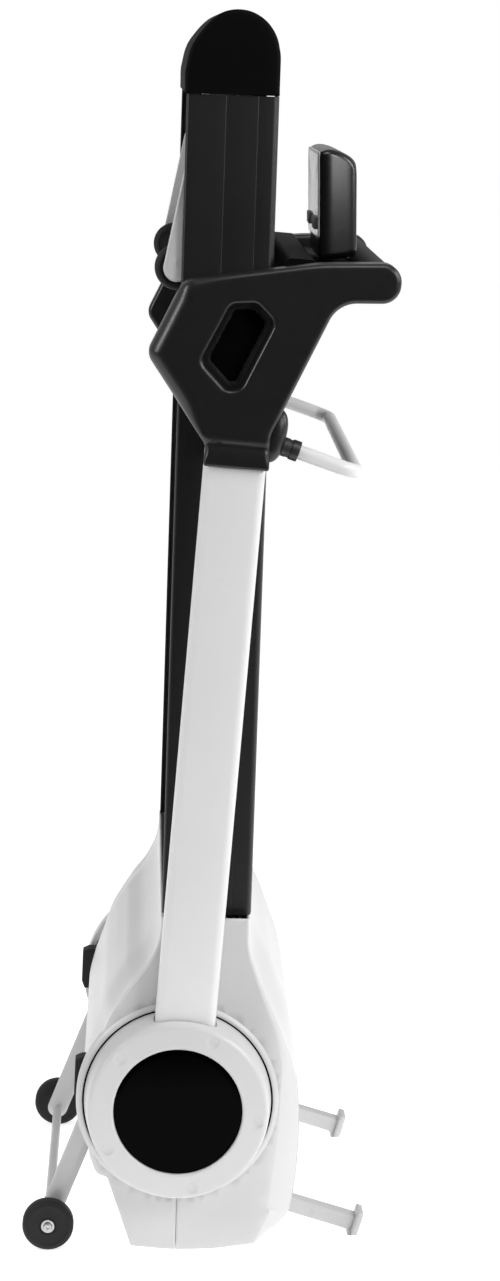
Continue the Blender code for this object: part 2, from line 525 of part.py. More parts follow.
bend = [BAR_BEND * (1 - math.cos(math.pi / 8 * i)) for i in range(5)]
reach = [BAR_BEND * math.sin(math.pi / 8 * i) for i in range(5)]
corner = Vector(BAR_END) - run * BAR_BEND
half_line = [(BAR_START[0], -BAR_Y, BAR_START[1])] + [
    (corner.x + run.x * r, -BAR_Y + d, corner.y + run.y * r) for r, d in zip(reach, bend)]
piece("guard_bar", "white", UPRIGHT, tube(half_line + [(a, -y, b) for a, y, b in reversed(half_line)], BAR_R, 3))

inner = GRIP_Y[0] - GAP
piece("grip_bar", "rubber", UPRIGHT, rod(GRIP_BAR_R, (-inner, inner), GRIP_BAR))
bridge = piece("console_bridge", "black", UPRIGHT,
               plate([(BRIDGE_A[0], BRIDGE_B[1] - 0.012), (BRIDGE_A[0] + 0.010, BRIDGE_B[1]),
                      (BRIDGE_A[1] - 0.004, BRIDGE_B[1]), (BRIDGE_A[1], BRIDGE_B[1] - 0.010),
                      (BRIDGE_A[1], BRIDGE_B[0] + 0.006), (BRIDGE_A[1] - 0.006, BRIDGE_B[0]),
                      (BRIDGE_A[0] + 0.006, BRIDGE_B[0]), (BRIDGE_A[0], BRIDGE_B[0] + 0.006)], (-inner, inner)))

# ---------------------------------------------------------------- console on its tilt barrel
back = piece("console_back", "gloss", CONSOLE,
             plate([(BACK_X[0], -0.002), (BACK_X[1] - 0.004, -0.002), (BACK_X[1], 0.004), (BACK_X[1], 0.104),
                    (BACK_X[1] - 0.006, 0.112), (BACK_X[0] + 0.016, 0.122), (BACK_X[0] + 0.006, BACK_TOP),
                    (BACK_X[0], BACK_TOP)], (-CONSOLE_Y, CONSOLE_Y)))
shape(back, rod(TILT_R, (-0.100, 0.100), (0, 0), 24), "UNION")
bezel = piece("console_face", "silver", CONSOLE,
              plate([(BEZEL_X[0], BEZEL_Z[0]), (BEZEL_X[1], BEZEL_Z[0]), (BEZEL_X[1], BEZEL_Z[1]),
                     (BEZEL_X[0] + 0.005, BEZEL_Z[1]), (BEZEL_X[0], BEZEL_Z[1] - 0.005)], (-CONSOLE_Y, CONSOLE_Y)))
lens = ((-0.095, 0.095), (0.052, 0.112))
shape(bezel, block((BEZEL_X[0] - 0.01, BEZEL_X[0] + 0.003), (lens[0][0] - GAP, lens[0][1] + GAP),
                   (lens[1][0] - GAP, lens[1][1] + GAP)))
piece("display_lens", "gloss", CONSOLE, block((BEZEL_X[0] + 0.0005, BEZEL_X[0] + 0.003 - GAP), *lens))
KEYS = (("start_button", "green", -0.090), ("slower_button", "black", -0.055), ("faster_button", "black", 0.055),
        ("stop_button", "red", 0.090))
key_z = 0.028
for name, look, y in KEYS:
    shape(bezel, block((BEZEL_X[0] - 0.01, BEZEL_X[0] + 0.008), (y - BUTTON / 2 - LOOSE / 2, y + BUTTON / 2 + LOOSE / 2),
                       (key_z - BUTTON / 2 - LOOSE / 2, key_z + BUTTON / 2 + LOOSE / 2)))
    piece(name, look, CONSOLE,
          block((BEZEL_X[0] - BUTTON_RISE, BEZEL_X[0] + 0.004), (y - BUTTON / 2, y + BUTTON / 2),
                (key_z - BUTTON / 2, key_z + BUTTON / 2), soft=0.001))
shape(bezel, block((BEZEL_X[0] - 0.01, BEZEL_X[0] + 0.008), (-0.0125, 0.0125), (key_z - 0.0065, key_z + 0.0065)))
piece("safety_key", "red", CONSOLE,
      block((BEZEL_X[0] - 0.014, BEZEL_X[0] + 0.0077), (-0.012, 0.012), (key_z - 0.006, key_z + 0.006), soft=0.0015))
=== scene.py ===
"""Looks of a folding treadmill stood up on its nose for storage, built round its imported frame.

Metres. The row frame has +Z up, +X on the running side, and Y across the deck. Most shapes are drawn in
(a, y, b) of two leaning sets of axes on the fold shaft: a is square to the running surface, b runs up the
deck.
"""
import json
import math

import bmesh
import bpy
import numpy as np
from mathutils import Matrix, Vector
from mathutils.geometry import delaunay_2d_cdt


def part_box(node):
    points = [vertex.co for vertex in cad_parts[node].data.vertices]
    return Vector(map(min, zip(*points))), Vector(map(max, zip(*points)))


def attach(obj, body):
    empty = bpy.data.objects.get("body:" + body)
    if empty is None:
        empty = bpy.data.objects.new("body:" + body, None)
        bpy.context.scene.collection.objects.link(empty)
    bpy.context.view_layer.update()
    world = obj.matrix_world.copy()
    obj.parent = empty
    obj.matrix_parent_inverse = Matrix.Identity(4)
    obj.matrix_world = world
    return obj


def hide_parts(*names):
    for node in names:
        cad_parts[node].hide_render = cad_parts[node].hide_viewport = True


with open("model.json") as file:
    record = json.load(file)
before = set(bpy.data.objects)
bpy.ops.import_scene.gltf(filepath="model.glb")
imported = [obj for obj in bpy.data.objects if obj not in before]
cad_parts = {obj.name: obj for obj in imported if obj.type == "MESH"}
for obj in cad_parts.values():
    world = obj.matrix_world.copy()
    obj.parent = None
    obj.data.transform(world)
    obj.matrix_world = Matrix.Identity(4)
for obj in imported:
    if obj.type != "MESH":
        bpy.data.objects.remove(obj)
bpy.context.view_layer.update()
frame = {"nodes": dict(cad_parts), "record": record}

TAU = math.tau
JOINTS = {joint["name"]: joint for joint in frame["record"]["behaviour"]["joints"]}


# ---------------------------------------------------------------- axes
class Axes:
    """A set of axes turned about Y by lean: (a, y, b) goes to the row frame."""

    def __init__(self, origin, lean=0.0):
        self.origin, self.cos, self.sin = np.asarray(origin, float), math.cos(lean), math.sin(lean)

    def row(self, points):
        a, y, b = np.moveaxis(np.asarray(points, float), -1, 0)
        return self.origin + np.stack([a * self.cos + b * self.sin, y, b * self.cos - a * self.sin], -1)

    def local(self, points):
        x, y, z = np.moveaxis(np.asarray(points, float) - self.origin, -1, 0)
        return np.stack([x * self.cos - z * self.sin, y, x * self.sin + z * self.cos], -1)


FOLD = JOINTS["uprights_fold"]["pos_m"]
DECK_LEAN, UPRIGHT_LEAN = math.radians(1.95), math.radians(5.1)
DECK = Axes(FOLD, DECK_LEAN)
UPRIGHT = Axes(FOLD, UPRIGHT_LEAN)
CONSOLE = Axes(JOINTS["console_tilt"]["pos_m"])
ROW = Axes((0, 0, 0))
SIDES = (("left", -1), ("right", 1))


# ---------------------------------------------------------------- curves in a plane
def cornered(points, radii, closed=True, step=0.004, arc=math.radians(9)):
    """A polygon with its corners rounded to arcs, and for each point of it the number of the corner that it
    belongs to, with fractions between corners. An arc that doesn't fit is shrunk to half of its shorter
    side."""
    p = np.asarray(points, float)
    n = len(p)
    radii = np.broadcast_to(radii, n)
    line, place = [], []
    for i in range(n):
        if not closed and i in (0, n - 1):
            line.append(p[i:i + 1])
            place.append([float(i)])
            continue
        into, out = p[i] - p[i - 1], p[(i + 1) % n] - p[i]
        long_in, long_out = np.linalg.norm(into), np.linalg.norm(out)
        into, out = into / long_in, out / long_out
        turn = math.atan2(into[0] * out[1] - into[1] * out[0], into @ out)
        reach = min(abs(radii[i] * math.tan(turn / 2)), long_in * 0.499, long_out * 0.499)
        if abs(turn) < 1e-4 or reach < 1e-5:
            line.append(p[i:i + 1])
            place.append([float(i)])
            continue
        radius = reach / math.tan(abs(turn) / 2)
        steps = max(2, math.ceil(abs(turn) / arc), math.ceil(radius * abs(turn) / step))
        t = np.linspace(0, 1, steps + 1)
        normal = np.array([-into[1], into[0]]) * math.copysign(1, turn)
        centre = p[i] - into * reach + normal * radius
        swing = t[:, None] * abs(turn)
        line.append(centre - normal * radius * np.cos(swing) + into * radius * np.sin(swing))
        place.append(i + np.interp(t, [0, 0.5, 1], [-reach / long_in, 0, reach / long_out]))
    line, place = np.concatenate(line), np.concatenate(place)
    if closed:
        line, place = np.vstack([line, line[:1]]), np.append(place, place[0] + n)
    long = np.linalg.norm(np.diff(line, axis=0), axis=1)
    cuts = np.maximum(1, np.ceil(long / step)).astype(int)
    index = np.repeat(np.arange(len(cuts)), cuts)
    share = (np.arange(len(index)) - np.repeat(np.cumsum(cuts) - cuts, cuts)) / cuts[index]
    fine = line[index] + (line[index + 1] - line[index]) * share[:, None]
    where = place[index] + (place[index + 1] - place[index]) * share
    if not closed:
        fine, where = np.vstack([fine, line[-1:]]), np.append(where, place[-1])
    return fine, where % n if closed else where


def ring(radius, centre=(0, 0), steps=96):
    t = np.linspace(0, TAU, steps, endpoint=False)
    return np.stack([centre[0] + radius * np.cos(t), centre[1] + radius * np.sin(t)], -1)


def inwards(line, closed=True):
    """The unit normal of each point of a curve, the mean of its two sides', towards the inside of a closed
    one."""
    ahead = np.roll(line, -1, 0) - line
    if not closed:
        ahead[-1] = ahead[-2]
    behind = np.roll(ahead, 1, 0)
    if not closed:
        behind[0] = ahead[0]
    unit = lambda v: v / np.maximum(np.linalg.norm(v, axis=-1, keepdims=True), 1e-12)
    tangent = unit(unit(ahead) + unit(behind))
    area = np.sum(line[:, 0] * np.roll(line[:, 1], -1) - np.roll(line[:, 0], -1) * line[:, 1])
    return np.stack([-tangent[:, 1], tangent[:, 0]], -1) * (1 if area > 0 else -1)


def gap_to(points, line):
    """How far each point is from a closed curve, below zero inside it."""
    start, end = line, np.roll(line, -1, 0)
    side = end - start
    result = []
    for chunk in np.array_split(points, max(1, len(points) // 3000)):
        offset = chunk[:, None] - start
        share = np.clip((offset * side).sum(-1) / np.maximum((side ** 2).sum(-1), 1e-18), 0, 1)
        away = np.linalg.norm(offset - side * share[..., None], axis=-1).min(1)
        above = (start[:, 1] > chunk[:, 1:2]) != (end[:, 1] > chunk[:, 1:2])
        rise = np.where(np.abs(side[:, 1]) < 1e-15, 1e-15, side[:, 1])
        crosses = above & (chunk[:, :1] < start[:, 0] + side[:, 0] * (chunk[:, 1:2] - start[:, 1]) / rise)
        result.append(np.where(crosses.sum(1) % 2 == 1, -away, away))
    return np.concatenate(result)


def smooth(t):
    t = np.clip(t, 0, 1)
    return t * t * (3 - 2 * t)


def fillet(depth, radius):
    """The drop of a quarter circle at a depth inside an edge: radius at the edge, nothing past the
    radius."""
    radius = np.maximum(radius, 1e-9)
    return radius - np.sqrt(np.maximum(radius ** 2 - np.clip(radius - depth, 0, radius) ** 2, 0))


def tiled(outline, spacing, steps=(), rims=(), rim_steps=()):
    """Triangles over a flat outline: the outline itself, its copies at the given depths inside, copies of
    each rim at the given distances either side of it, and a square grid over what is left."""
    kept = [outline]
    inside = inwards(outline)
    for depth in steps:
        moved = outline + inside * depth
        kept.append(moved[-gap_to(moved, outline) > depth * 0.97])
    for rim in rims:
        turned_in = inwards(rim)
        for away in rim_steps:
            moved = rim + turned_in * away
            near = np.abs(gap_to(moved, rim)) > abs(away) * 0.97
            kept.append(moved[near & (-gap_to(moved, outline) > 0.0008)])
    low, high = outline.min(0), outline.max(0)
    grid = np.stack(np.meshgrid(np.arange(low[0], high[0], spacing), np.arange(low[1], high[1], spacing)), -1)
    grid = grid.reshape(-1, 2)
    grid = grid[-gap_to(grid, outline) > max(steps, default=0) + spacing * 0.5]
    for rim in rims:
        reach = max(map(abs, rim_steps), default=0)
        grid = grid[np.abs(gap_to(grid, rim)) > reach + spacing * 0.5]
    points = np.concatenate([*kept, grid])
    edges = [(i, (i + 1) % len(outline)) for i in range(len(outline))]
    found = delaunay_2d_cdt([Vector(p) for p in points], edges, [], 0, 1e-7, False)
    points = np.array([tuple(p) for p in found[0]])
    faces = np.array([face for face in found[2] if len(face) == 3])
    return points, faces[gap_to(points[faces].mean(1), outline) < 0]


# ---------------------------------------------------------------- meshes
class Skin:
    """Patches drawn in one set of axes, gathered, merged where they meet and faced outwards."""

    def __init__(self, axes):
        self.axes, self.points, self.faces, self.total = axes, [], [], 0

    def add(self, points, faces):
        self.points.append(self.axes.row(np.asarray(points, float).reshape(-1, 3)))
        self.faces += (np.asarray(faces) + self.total).tolist()
        self.total += len(self.points[-1])
        return self

    def grid(self, p, round_u=False, round_v=False):
        """The quads between neighbours of a (u, v) array of points."""
        rows, columns = p.shape[:2]
        u = np.arange(rows if round_u else rows - 1)[:, None]
        v = np.arange(columns if round_v else columns - 1)
        ahead, beside = (u + 1) % rows * columns, (v + 1) % columns
        here = u * columns
        quads = np.stack(np.broadcast_arrays(here + v, ahead + v, ahead + beside, here + beside), -1)
        return self.add(p, quads.reshape(-1, 4))

    def lid(self, p):
        """Triangles from a closed ring of points to its middle."""
        n = len(p)
        i = np.arange(n)
        return self.add(np.vstack([p, p.mean(0)]), np.stack([i, (i + 1) % n, np.full(n, n)], -1))

    def turned(self, profile, centre=(0, 0), steps=96, side=1):
        """A closed (radius, y) profile turned round the Y axis through centre."""
        profile = np.asarray(profile, float)
        t = np.linspace(0, TAU, steps, endpoint=False)[:, None]
        r, y = profile[:, 0], profile[:, 1] * side
        p = np.broadcast_arrays(centre[0] + r * np.cos(t), y, centre[1] + r * np.sin(t))
        return self.grid(np.stack(p, -1), round_u=True, round_v=True)

    def slab(self, outline, low, high, front=None, back=None, spacing=0.006, side=1, **tiling):
        """A body over an (a, b) outline from y low to y high. front and back say how far each face lies
        below its height at a point, from the point and its depth inside the edge."""
        flat = lambda p, d: np.zeros(len(p))
        front, back = front or flat, back or flat
        points, faces = tiled(outline, spacing, **tiling)
        depth = np.maximum(-gap_to(points, outline), 0)
        edge = np.zeros(len(outline))
        for level, sign, fall in ((high, -1, front), (low, 1, back)):
            y = (level + sign * fall(points, depth)) * side
            self.add(np.stack([points[:, 0], y, points[:, 1]], -1), faces)
        top, bottom = high - front(outline, edge), low + back(outline, edge)
        rows = np.linspace(0, 1, 5)[:, None]
        y = (bottom + (top - bottom) * rows) * side
        a, b = np.broadcast_to(outline[:, 0], y.shape), np.broadcast_to(outline[:, 1], y.shape)
        return self.grid(np.stack([a, y, b], -1), round_v=True)

    def made(self, name, body, finish, replaces=(), slot=None, angle=35):
        mesh = bpy.data.meshes.new(name)
        mesh.from_pydata(np.concatenate(self.points).tolist(), [], self.faces)
        return piece(name, mesh, body, finish, replaces, angle)


def piece(name, mesh, body, finish, replaces=(), angle=35, merge=2e-6, soften=0.0):
    """A mesh in the row frame made a finished piece that moves with a body."""
    build = bmesh.new()
    build.from_mesh(mesh)
    bmesh.ops.remove_doubles(build, verts=build.verts, dist=merge)
    bmesh.ops.dissolve_degenerate(build, edges=build.edges, dist=1e-7)
    bmesh.ops.recalc_face_normals(build, faces=build.faces)
    if soften:
        bmesh.ops.dissolve_limit(build, angle_limit=math.radians(1), verts=build.verts, edges=build.edges)
    build.to_mesh(mesh)
    build.free()
    obj = bpy.data.objects.new(name, mesh)
    bpy.context.scene.collection.objects.link(obj)
    if soften:
        bevel = obj.modifiers.new("edges", "BEVEL")
        bevel.width, bevel.segments, bevel.limit_method = soften, 3, "ANGLE"
        bevel.angle_limit, bevel.use_clamp_overlap = math.radians(40), True
    mesh.shade_smooth()
    mesh.set_sharp_from_angle(angle=math.radians(angle))
    mesh.materials.clear()
    mesh.materials.append(finish)
    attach(obj, body)
    if replaces:
        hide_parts(*replaces)
    return obj


def softened(node, body, finish, by=0.0015):
    """A node's own shape with its edges rounded."""
    mesh = frame["nodes"][node].data.copy()
    return piece(node + "_soft", mesh, body, finish, (node,), soften=by)


# ---------------------------------------------------------------- shader sockets and finishes
class Socket:
    """A shader value that takes part in sums; each operator adds its Math node."""

    def __init__(self, finish, out):
        self.finish, self.out = finish, out

    def sum(self, operation, first, second):
        return self.finish.add("ShaderNodeMath", {"operation": operation}, {0: first, 1: second})

    def __add__(self, other):
        return self.sum("ADD", self, other)

    def __radd__(self, other):
        return self.sum("ADD", other, self)

    def __sub__(self, other):
        return self.sum("SUBTRACT", self, other)

    def __mul__(self, other):
        return self.sum("MULTIPLY", self, other)

    def __gt__(self, other):
        return self.sum("GREATER_THAN", self, other)


class Finish:
    """A material, whose nodes are added one by one to its shader."""

    def __init__(self, name, **shader):
        self.material = bpy.data.materials.new(name)
        self.material.use_nodes = True
        self.tree = self.material.node_tree
        self.shader = self.tree.nodes["Principled BSDF"]
        for socket, value in shader.items():
            self.set(self.shader.inputs[socket.replace("_", " ")], value)

    def set(self, socket, value):
        if isinstance(value, Socket):
            self.tree.links.new(value.out, socket)
        elif isinstance(value, tuple) and len(value) == 3 and len(socket.default_value) == 4:
            socket.default_value = (*value, 1)
        else:
            socket.default_value = value

    def add(self, kind, settings=None, values=None, output=0):
        node = self.tree.nodes.new(kind)
        for name, value in (settings or {}).items():
            setattr(node, name, value)
        for name, value in (values or {}).items():
            self.set(node.inputs[name], value)
        return Socket(self, node.outputs[output])

    def place(self, scale=(1, 1, 1)):
        """Object coordinates, stretched."""
        at = self.add("ShaderNodeTexCoord", output=3)
        return self.add("ShaderNodeMapping", {}, {"Vector": at, "Scale": scale})

    def noise(self, where, scale, detail=4.0, rough=0.55):
        return self.add("ShaderNodeTexNoise", {}, {"Vector": where, "Scale": scale, "Detail": detail,
                                                   "Roughness": rough})

    def between(self, share, first, second):
        return self.add("ShaderNodeMix", {"data_type": "RGBA"}, {0: share, 6: first, 7: second}, output=2)

    def bump(self, height, distance):
        return self.add("ShaderNodeBump", {}, {"Height": height, "Distance": distance, "Strength": 1.0})

    def shade(self, **sockets):
        for socket, value in sockets.items():
            self.set(self.shader.inputs[socket.replace("_", " ")], value)
        return self.material


def moulded(name, light, dark, rough, grain=900.0, depth=0.00003, blotch=7.0, spread=0.10,
            stretch=(1, 1, 1), **more):
    """A moulded, painted or rubber finish: a slow drift of tone, a finer mottle in the gloss, and a fine
    grain."""
    f = Finish(name, **more)
    at = f.place(stretch)
    drift, mottle, fine = f.noise(at, blotch, 3), f.noise(at, blotch * 9, 4), f.noise(at, grain, 2, 0.6)
    share = 0.5 + (drift - 0.5) * 1.6 + (mottle - 0.5) * 0.35
    rough_here = rough + (mottle - 0.5) * spread + (fine - 0.5) * spread * 0.6
    return f.shade(Base_Color=f.between(share, dark, light), Roughness=rough_here,
                   Normal=f.bump(fine, depth))


WHITE_MOULDING = moulded("satin_white_moulding", (0.625, 0.625, 0.63), (0.59, 0.59, 0.595), 0.32, 1100,
                         0.000025)
WHITE_POWDER = moulded("white_powder_coat", (0.735, 0.735, 0.735), (0.70, 0.70, 0.705), 0.30, 420, 0.00006, 5)
GREY_POWDER = moulded("light_grey_powder_coat", (0.56, 0.56, 0.56), (0.50, 0.50, 0.505), 0.34, 420, 0.00006,
                      9)
SOFT_BLACK = moulded("soft_touch_black", (0.0062, 0.0062, 0.0064), (0.0048, 0.0048, 0.0050), 0.38, 1500,
                     0.00005, 12, 0.12, Specular_IOR_Level=0.5)
CAP_BLACK = moulded("end_cap_black", (0.0014, 0.0014, 0.0015), (0.0010, 0.0010, 0.0011), 0.62, 1300,
                    0.00006, 10, Specular_IOR_Level=0.06)
RUBBER = moulded("wheel_rubber", (0.0105, 0.0105, 0.011), (0.007, 0.007, 0.0075), 0.62, 800, 0.00008, 30,
                 Specular_IOR_Level=0.35)
FOAM = moulded("grip_foam", (0.012, 0.012, 0.0125), (0.008, 0.008, 0.0085), 0.7, 600, 0.00016, 25)
# near black, rough and barely glossy: painted shade, the colour of the sheets laid in the ring gaps and
# finger recesses
SHADE_BLACK = moulded("painted_shade_black", (0.0014, 0.0014, 0.0014), (0.0008, 0.0008, 0.0008), 0.9, 900, 0.0001, 40,
                     Specular_IOR_Level=0.05)
GLOSS_BLACK = moulded("polished_black", (0.0025, 0.0025, 0.0026), (0.0018, 0.0018, 0.0019), 0.26, 500,
                      0.000004, 6, 0.05, Specular_IOR_Level=0.5)
CAP_GLOSS = moulded("hub_cap_gloss", (0.0004, 0.0004, 0.0004), (0.0003, 0.0003, 0.0003), 0.16, 500,
                    0.000004, 6, 0.05, Specular_IOR_Level=0.03)
PANEL_GREY = moulded("console_grey", (0.49, 0.49, 0.495), (0.44, 0.44, 0.445), 0.17, 1200, 0.000003, 12, 0.04)
STEEL = moulded("zinc_plate", (0.60, 0.60, 0.61), (0.45, 0.45, 0.46), 0.33, 700, 0.00003, 60, 0.2,
                Metallic=1.0)
CAST = moulded("painted_motor", (0.045, 0.045, 0.048), (0.03, 0.03, 0.032), 0.5, 500, 0.0001, 20)
TURNED = moulded("turned_alloy", (0.62, 0.62, 0.63), (0.5, 0.5, 0.51), 0.28, 900, 0.00003, 10, 0.15,
                 stretch=(1, 0.05, 1), Metallic=1.0)
KEY_RED = moulded("red_key", (0.55, 0.03, 0.025), (0.46, 0.022, 0.02), 0.34, 1400, 0.00003, 60)
KEY_BLACK = moulded("black_key", (0.03, 0.03, 0.03), (0.022, 0.022, 0.022), 0.4, 1400, 0.00004, 60)


def handle_black():
    """Moulded black of the handles: fine spark grain on the outside; down in the finger recess the colour is
    painted near black and rougher, as painted shade of the recess."""
    f = Finish("handle_black", Specular_IOR_Level=0.5)
    at = f.place()
    drift, mottle, fine = f.noise(at, 11, 3), f.noise(at, 95, 4), f.noise(at, 1500, 2, 0.6)
    # painted shade: a per-point mask of how deep in the finger recess a point lies, which turns the colour
    # near black there
    deep = f.add("ShaderNodeAttribute", {"attribute_name": "finger_recess_shade"}, output=2)
    skin = f.between(0.5 + (drift - 0.5) * 1.6, (0.0066, 0.0066, 0.0068), (0.0086, 0.0086, 0.0088))
    return f.shade(Base_Color=f.between(deep, skin, (0.0004, 0.0004, 0.0004)),
                   Roughness=0.33 + (mottle - 0.5) * 0.10 + (fine - 0.5) * 0.06 + deep * 0.45,
                   Normal=f.bump(fine, 0.00004))


def key_cap(name, dot, at):
    """A light grey key with a round dot of colour in its middle."""
    f = Finish(name)
    where = f.place()
    away = f.add("ShaderNodeVectorMath", {"operation": "DISTANCE"}, {0: where, 1: at}, output=1)
    fine, drift = f.noise(where, 1300, 2, 0.6), f.noise(where, 90, 3)
    grey = f.between(drift, (0.50, 0.50, 0.505), (0.56, 0.56, 0.565))
    return f.shade(Base_Color=f.between(away > 0.0032, dot, grey), Roughness=0.36 + (fine - 0.5) * 0.1,
                   Normal=f.bump(fine, 0.00003))


def key_place(node):
    low, high = map(np.array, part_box(node))
    return (float(low[0]), *map(float, (low[1:] + high[1:]) / 2))


def anodised():
    """Dark anodised extrusion: draw lines run along the length, with the gloss a little broken."""
    f = Finish("dark_anodised", Metallic=0.0, Specular_IOR_Level=0.5)
    at = f.place((1, 1, 0.012))
    lines, drift = f.noise(at, 900, 3, 0.7), f.noise(f.place(), 5, 3)
    return f.shade(Base_Color=f.between(drift, (0.0058, 0.0058, 0.0060), (0.0080, 0.0080, 0.0082)),
                   Roughness=0.40 + (lines - 0.5) * 0.16, Normal=f.bump(lines, 0.00002))


def woven_belt():
    """Running belt: small raised diamonds in black PVC, dusted a little lighter where feet land."""
    f = Finish("running_belt_weave", Specular_IOR_Level=0.35)
    at = f.place((1, 1, 1))
    y = f.add("ShaderNodeSeparateXYZ", {}, {0: at}, output=1)
    z = f.add("ShaderNodeSeparateXYZ", {}, {0: at}, output=2)
    wave = lambda v: f.add("ShaderNodeMath", {"operation": "SINE"}, {0: v})
    diamonds = wave((y + z) * 1500) * wave((y - z) * 1500)
    wear = f.noise(f.place((1, 1, 0.35)), 6, 4)
    return f.shade(Base_Color=f.between(wear, (0.0085, 0.0085, 0.009), (0.017, 0.017, 0.018)),
                   Roughness=0.62 + (wear - 0.5) * 0.2, Normal=f.bump(diamonds, 0.00018))


def pressed_board():
    """Fibre board with a waxed, near black film: long faint fibres."""
    f = Finish("deck_board_fibre")
    at = f.place((1, 1, 0.06))
    fibre, drift = f.noise(at, 260, 5, 0.65), f.noise(f.place(), 8, 3)
    return f.shade(Base_Color=f.between(fibre * 0.6 + drift * 0.4, (0.016, 0.013, 0.010),
                                        (0.034, 0.027, 0.020)), Roughness=0.55 + (fibre - 0.5) * 0.3,
                   Normal=f.bump(fibre, 0.0001))


HANDLE_BLACK = handle_black()
RAIL_DARK, BELT_WEAVE, BOARD = anodised(), woven_belt(), pressed_board()
KEY_START = key_cap("start_key_cap", (0.05, 0.34, 0.08), key_place("start_button"))
KEY_STOP = key_cap("stop_key_cap", (0.50, 0.025, 0.02), key_place("stop_button"))
KEY_PLAIN = moulded("grey_key_cap", (0.56, 0.56, 0.565), (0.50, 0.50, 0.505), 0.36, 1300, 0.00003, 90)

# ---------------------------------------------------------------- deck: rails, belt, board, end cap
RAIL_EDGE, LEDGE = 0.300, 0.225
BELT_TOP, BELT_HALF, BELT_RADIUS, BELT_ENDS = 0.0745, 0.205, 0.0262, (0.195, 1.300)
RAIL_LOW, RAIL_TOP = -0.0275, 0.0868
RAIL_ENDS = (0.2433, 1.2827)


def rails():
    """Each rail is a bent extrusion: its (a, y) section, a hook with rounded corners, two hair grooves down
    the side and a row of tread ribs on the foot ledge, is carried along b and its ends are closed flat."""
    wall, lip = 0.003, 0.0085
    ribs = []
    for y in np.arange(LEDGE + 0.008, RAIL_EDGE - 0.012, 0.005):
        ribs += [(RAIL_TOP, y), (RAIL_TOP + 0.0008, y + 0.0006), (RAIL_TOP + 0.0008, y + 0.0016),
                 (RAIL_TOP, y + 0.0022)]
    grooves = []
    for a in (0.062, 0.022):
        grooves += [(a + 0.0006, RAIL_EDGE), (a + 0.0002, RAIL_EDGE - 0.00018),
                    (a - 0.0002, RAIL_EDGE - 0.00018), (a - 0.0006, RAIL_EDGE)]
    outer = [(RAIL_TOP - wall, LEDGE), (RAIL_TOP, LEDGE), *ribs, (RAIL_TOP, RAIL_EDGE), *grooves,
             (RAIL_LOW, RAIL_EDGE), (RAIL_LOW, RAIL_EDGE - lip), (RAIL_LOW + wall, RAIL_EDGE - lip),
             (RAIL_LOW + wall, RAIL_EDGE - wall), (RAIL_TOP - wall, RAIL_EDGE - wall)]
    foot = [0.0040, 0.0008, 0.0008, 0.0016, 0.0022]
    radius = [0.0009, 0.0009] + [0.0002] * len(ribs) + [0.0070] + [0.0001] * len(grooves) + foot
    section, _ = cornered(outer, radius, step=0.02, arc=math.radians(15))
    b = np.concatenate([[RAIL_ENDS[0]], np.linspace(*RAIL_ENDS, 60)[1:-1], [RAIL_ENDS[1]]])[:, None]
    for word, side in SIDES:
        skin = Skin(DECK)
        p = np.stack(np.broadcast_arrays(section[:, 0], section[:, 1] * side, b), -1)
        skin.grid(p, round_v=True)
        points, faces = tiled(section, 0.05)
        for end in RAIL_ENDS:
            skin.add(np.stack([points[:, 0], points[:, 1] * side, np.full(len(points), end)], -1), faces)
        skin.made("rail_extrusion_" + word, "deck", RAIL_DARK, ("rail_" + word,), angle=30)


def belt():
    """The running belt: two half circles round the rollers joined by straight runs, a thin closed band
    whose edges are slightly rounded; the (a, b) loop times y."""
    half, centre_a = BELT_HALF, BELT_TOP - BELT_RADIUS
    turn = np.linspace(-math.pi / 2, math.pi / 2, 33)
    round_end = lambda b, t: np.stack([centre_a + BELT_RADIUS * np.cos(t), b + BELT_RADIUS * np.sin(t)], -1)
    top, low = round_end(BELT_ENDS[1], turn + math.pi / 2), round_end(BELT_ENDS[0], turn - math.pi / 2)
    loop, _ = cornered(np.vstack([top, low]), 0, step=0.03)
    inside = inwards(loop)
    layers = [(0.0020, half), (0.0, half - 0.0008), (0.0, 0), (0.0, 0.0008 - half), (0.0020, -half)]
    rows = [np.stack([loop[:, 0] + inside[:, 0] * deep, np.full(len(loop), y),
                      loop[:, 1] + inside[:, 1] * deep], -1) for deep, y in layers]
    Skin(DECK).grid(np.array(rows), round_u=True, round_v=True).made(
        "running_belt_band", "deck", BELT_WEAVE, ("running_belt",))


def end_cap():
    """The moulded cap over the rear roller: a rounded (a, b) dome drawn out across the deck, its two sides
    filleted, with a thin shadow step where it meets the rails. A tongue on each side of the belt closes the
    gap down to the board."""
    low, high = (-0.030, 1.2835), (0.0873, 1.2835)
    dome = [low, (-0.0305, 1.310), (-0.024, 1.3435), (-0.0065, 1.3670), (0.008, 1.3815), (0.0265, 1.3880),
            (0.0480, 1.3870), (0.0690, 1.3755), (0.0825, 1.3560), (0.0873, 1.3330), high]
    outline, _ = cornered(dome, [0.0012, .05, .06, .08, .05, .05, .05, .05, .05, .06, 0.0012], step=0.004)
    half = RAIL_EDGE + 0.0023
    edge = lambda p, d: fillet(d, np.where(p[:, 1] < 1.2875, 0.0005, 0.0055))
    skin = Skin(DECK).slab(outline, -half, half, edge, edge, 0.01, steps=(0.0005, 0.0014, 0.003, 0.0055))
    tongue = [(0.0560, 1.2563), (0.0716, 1.2563), (0.0716, 1.2850), (0.0560, 1.2850)]
    tongue, _ = cornered(tongue, [0.0015] * 4, step=0.004)
    for _, side in SIDES:
        skin.slab(tongue, BELT_HALF + 0.0012, LEDGE - 0.0007, side=side)
    skin.made("end_cap_moulding", "deck", CAP_BLACK, ("rear_end_cap",), angle=50)


# ---------------------------------------------------------------- hood
HOOD_SIDE = 0.3185
RING_IN = 0.0825
SEAM = 0.003
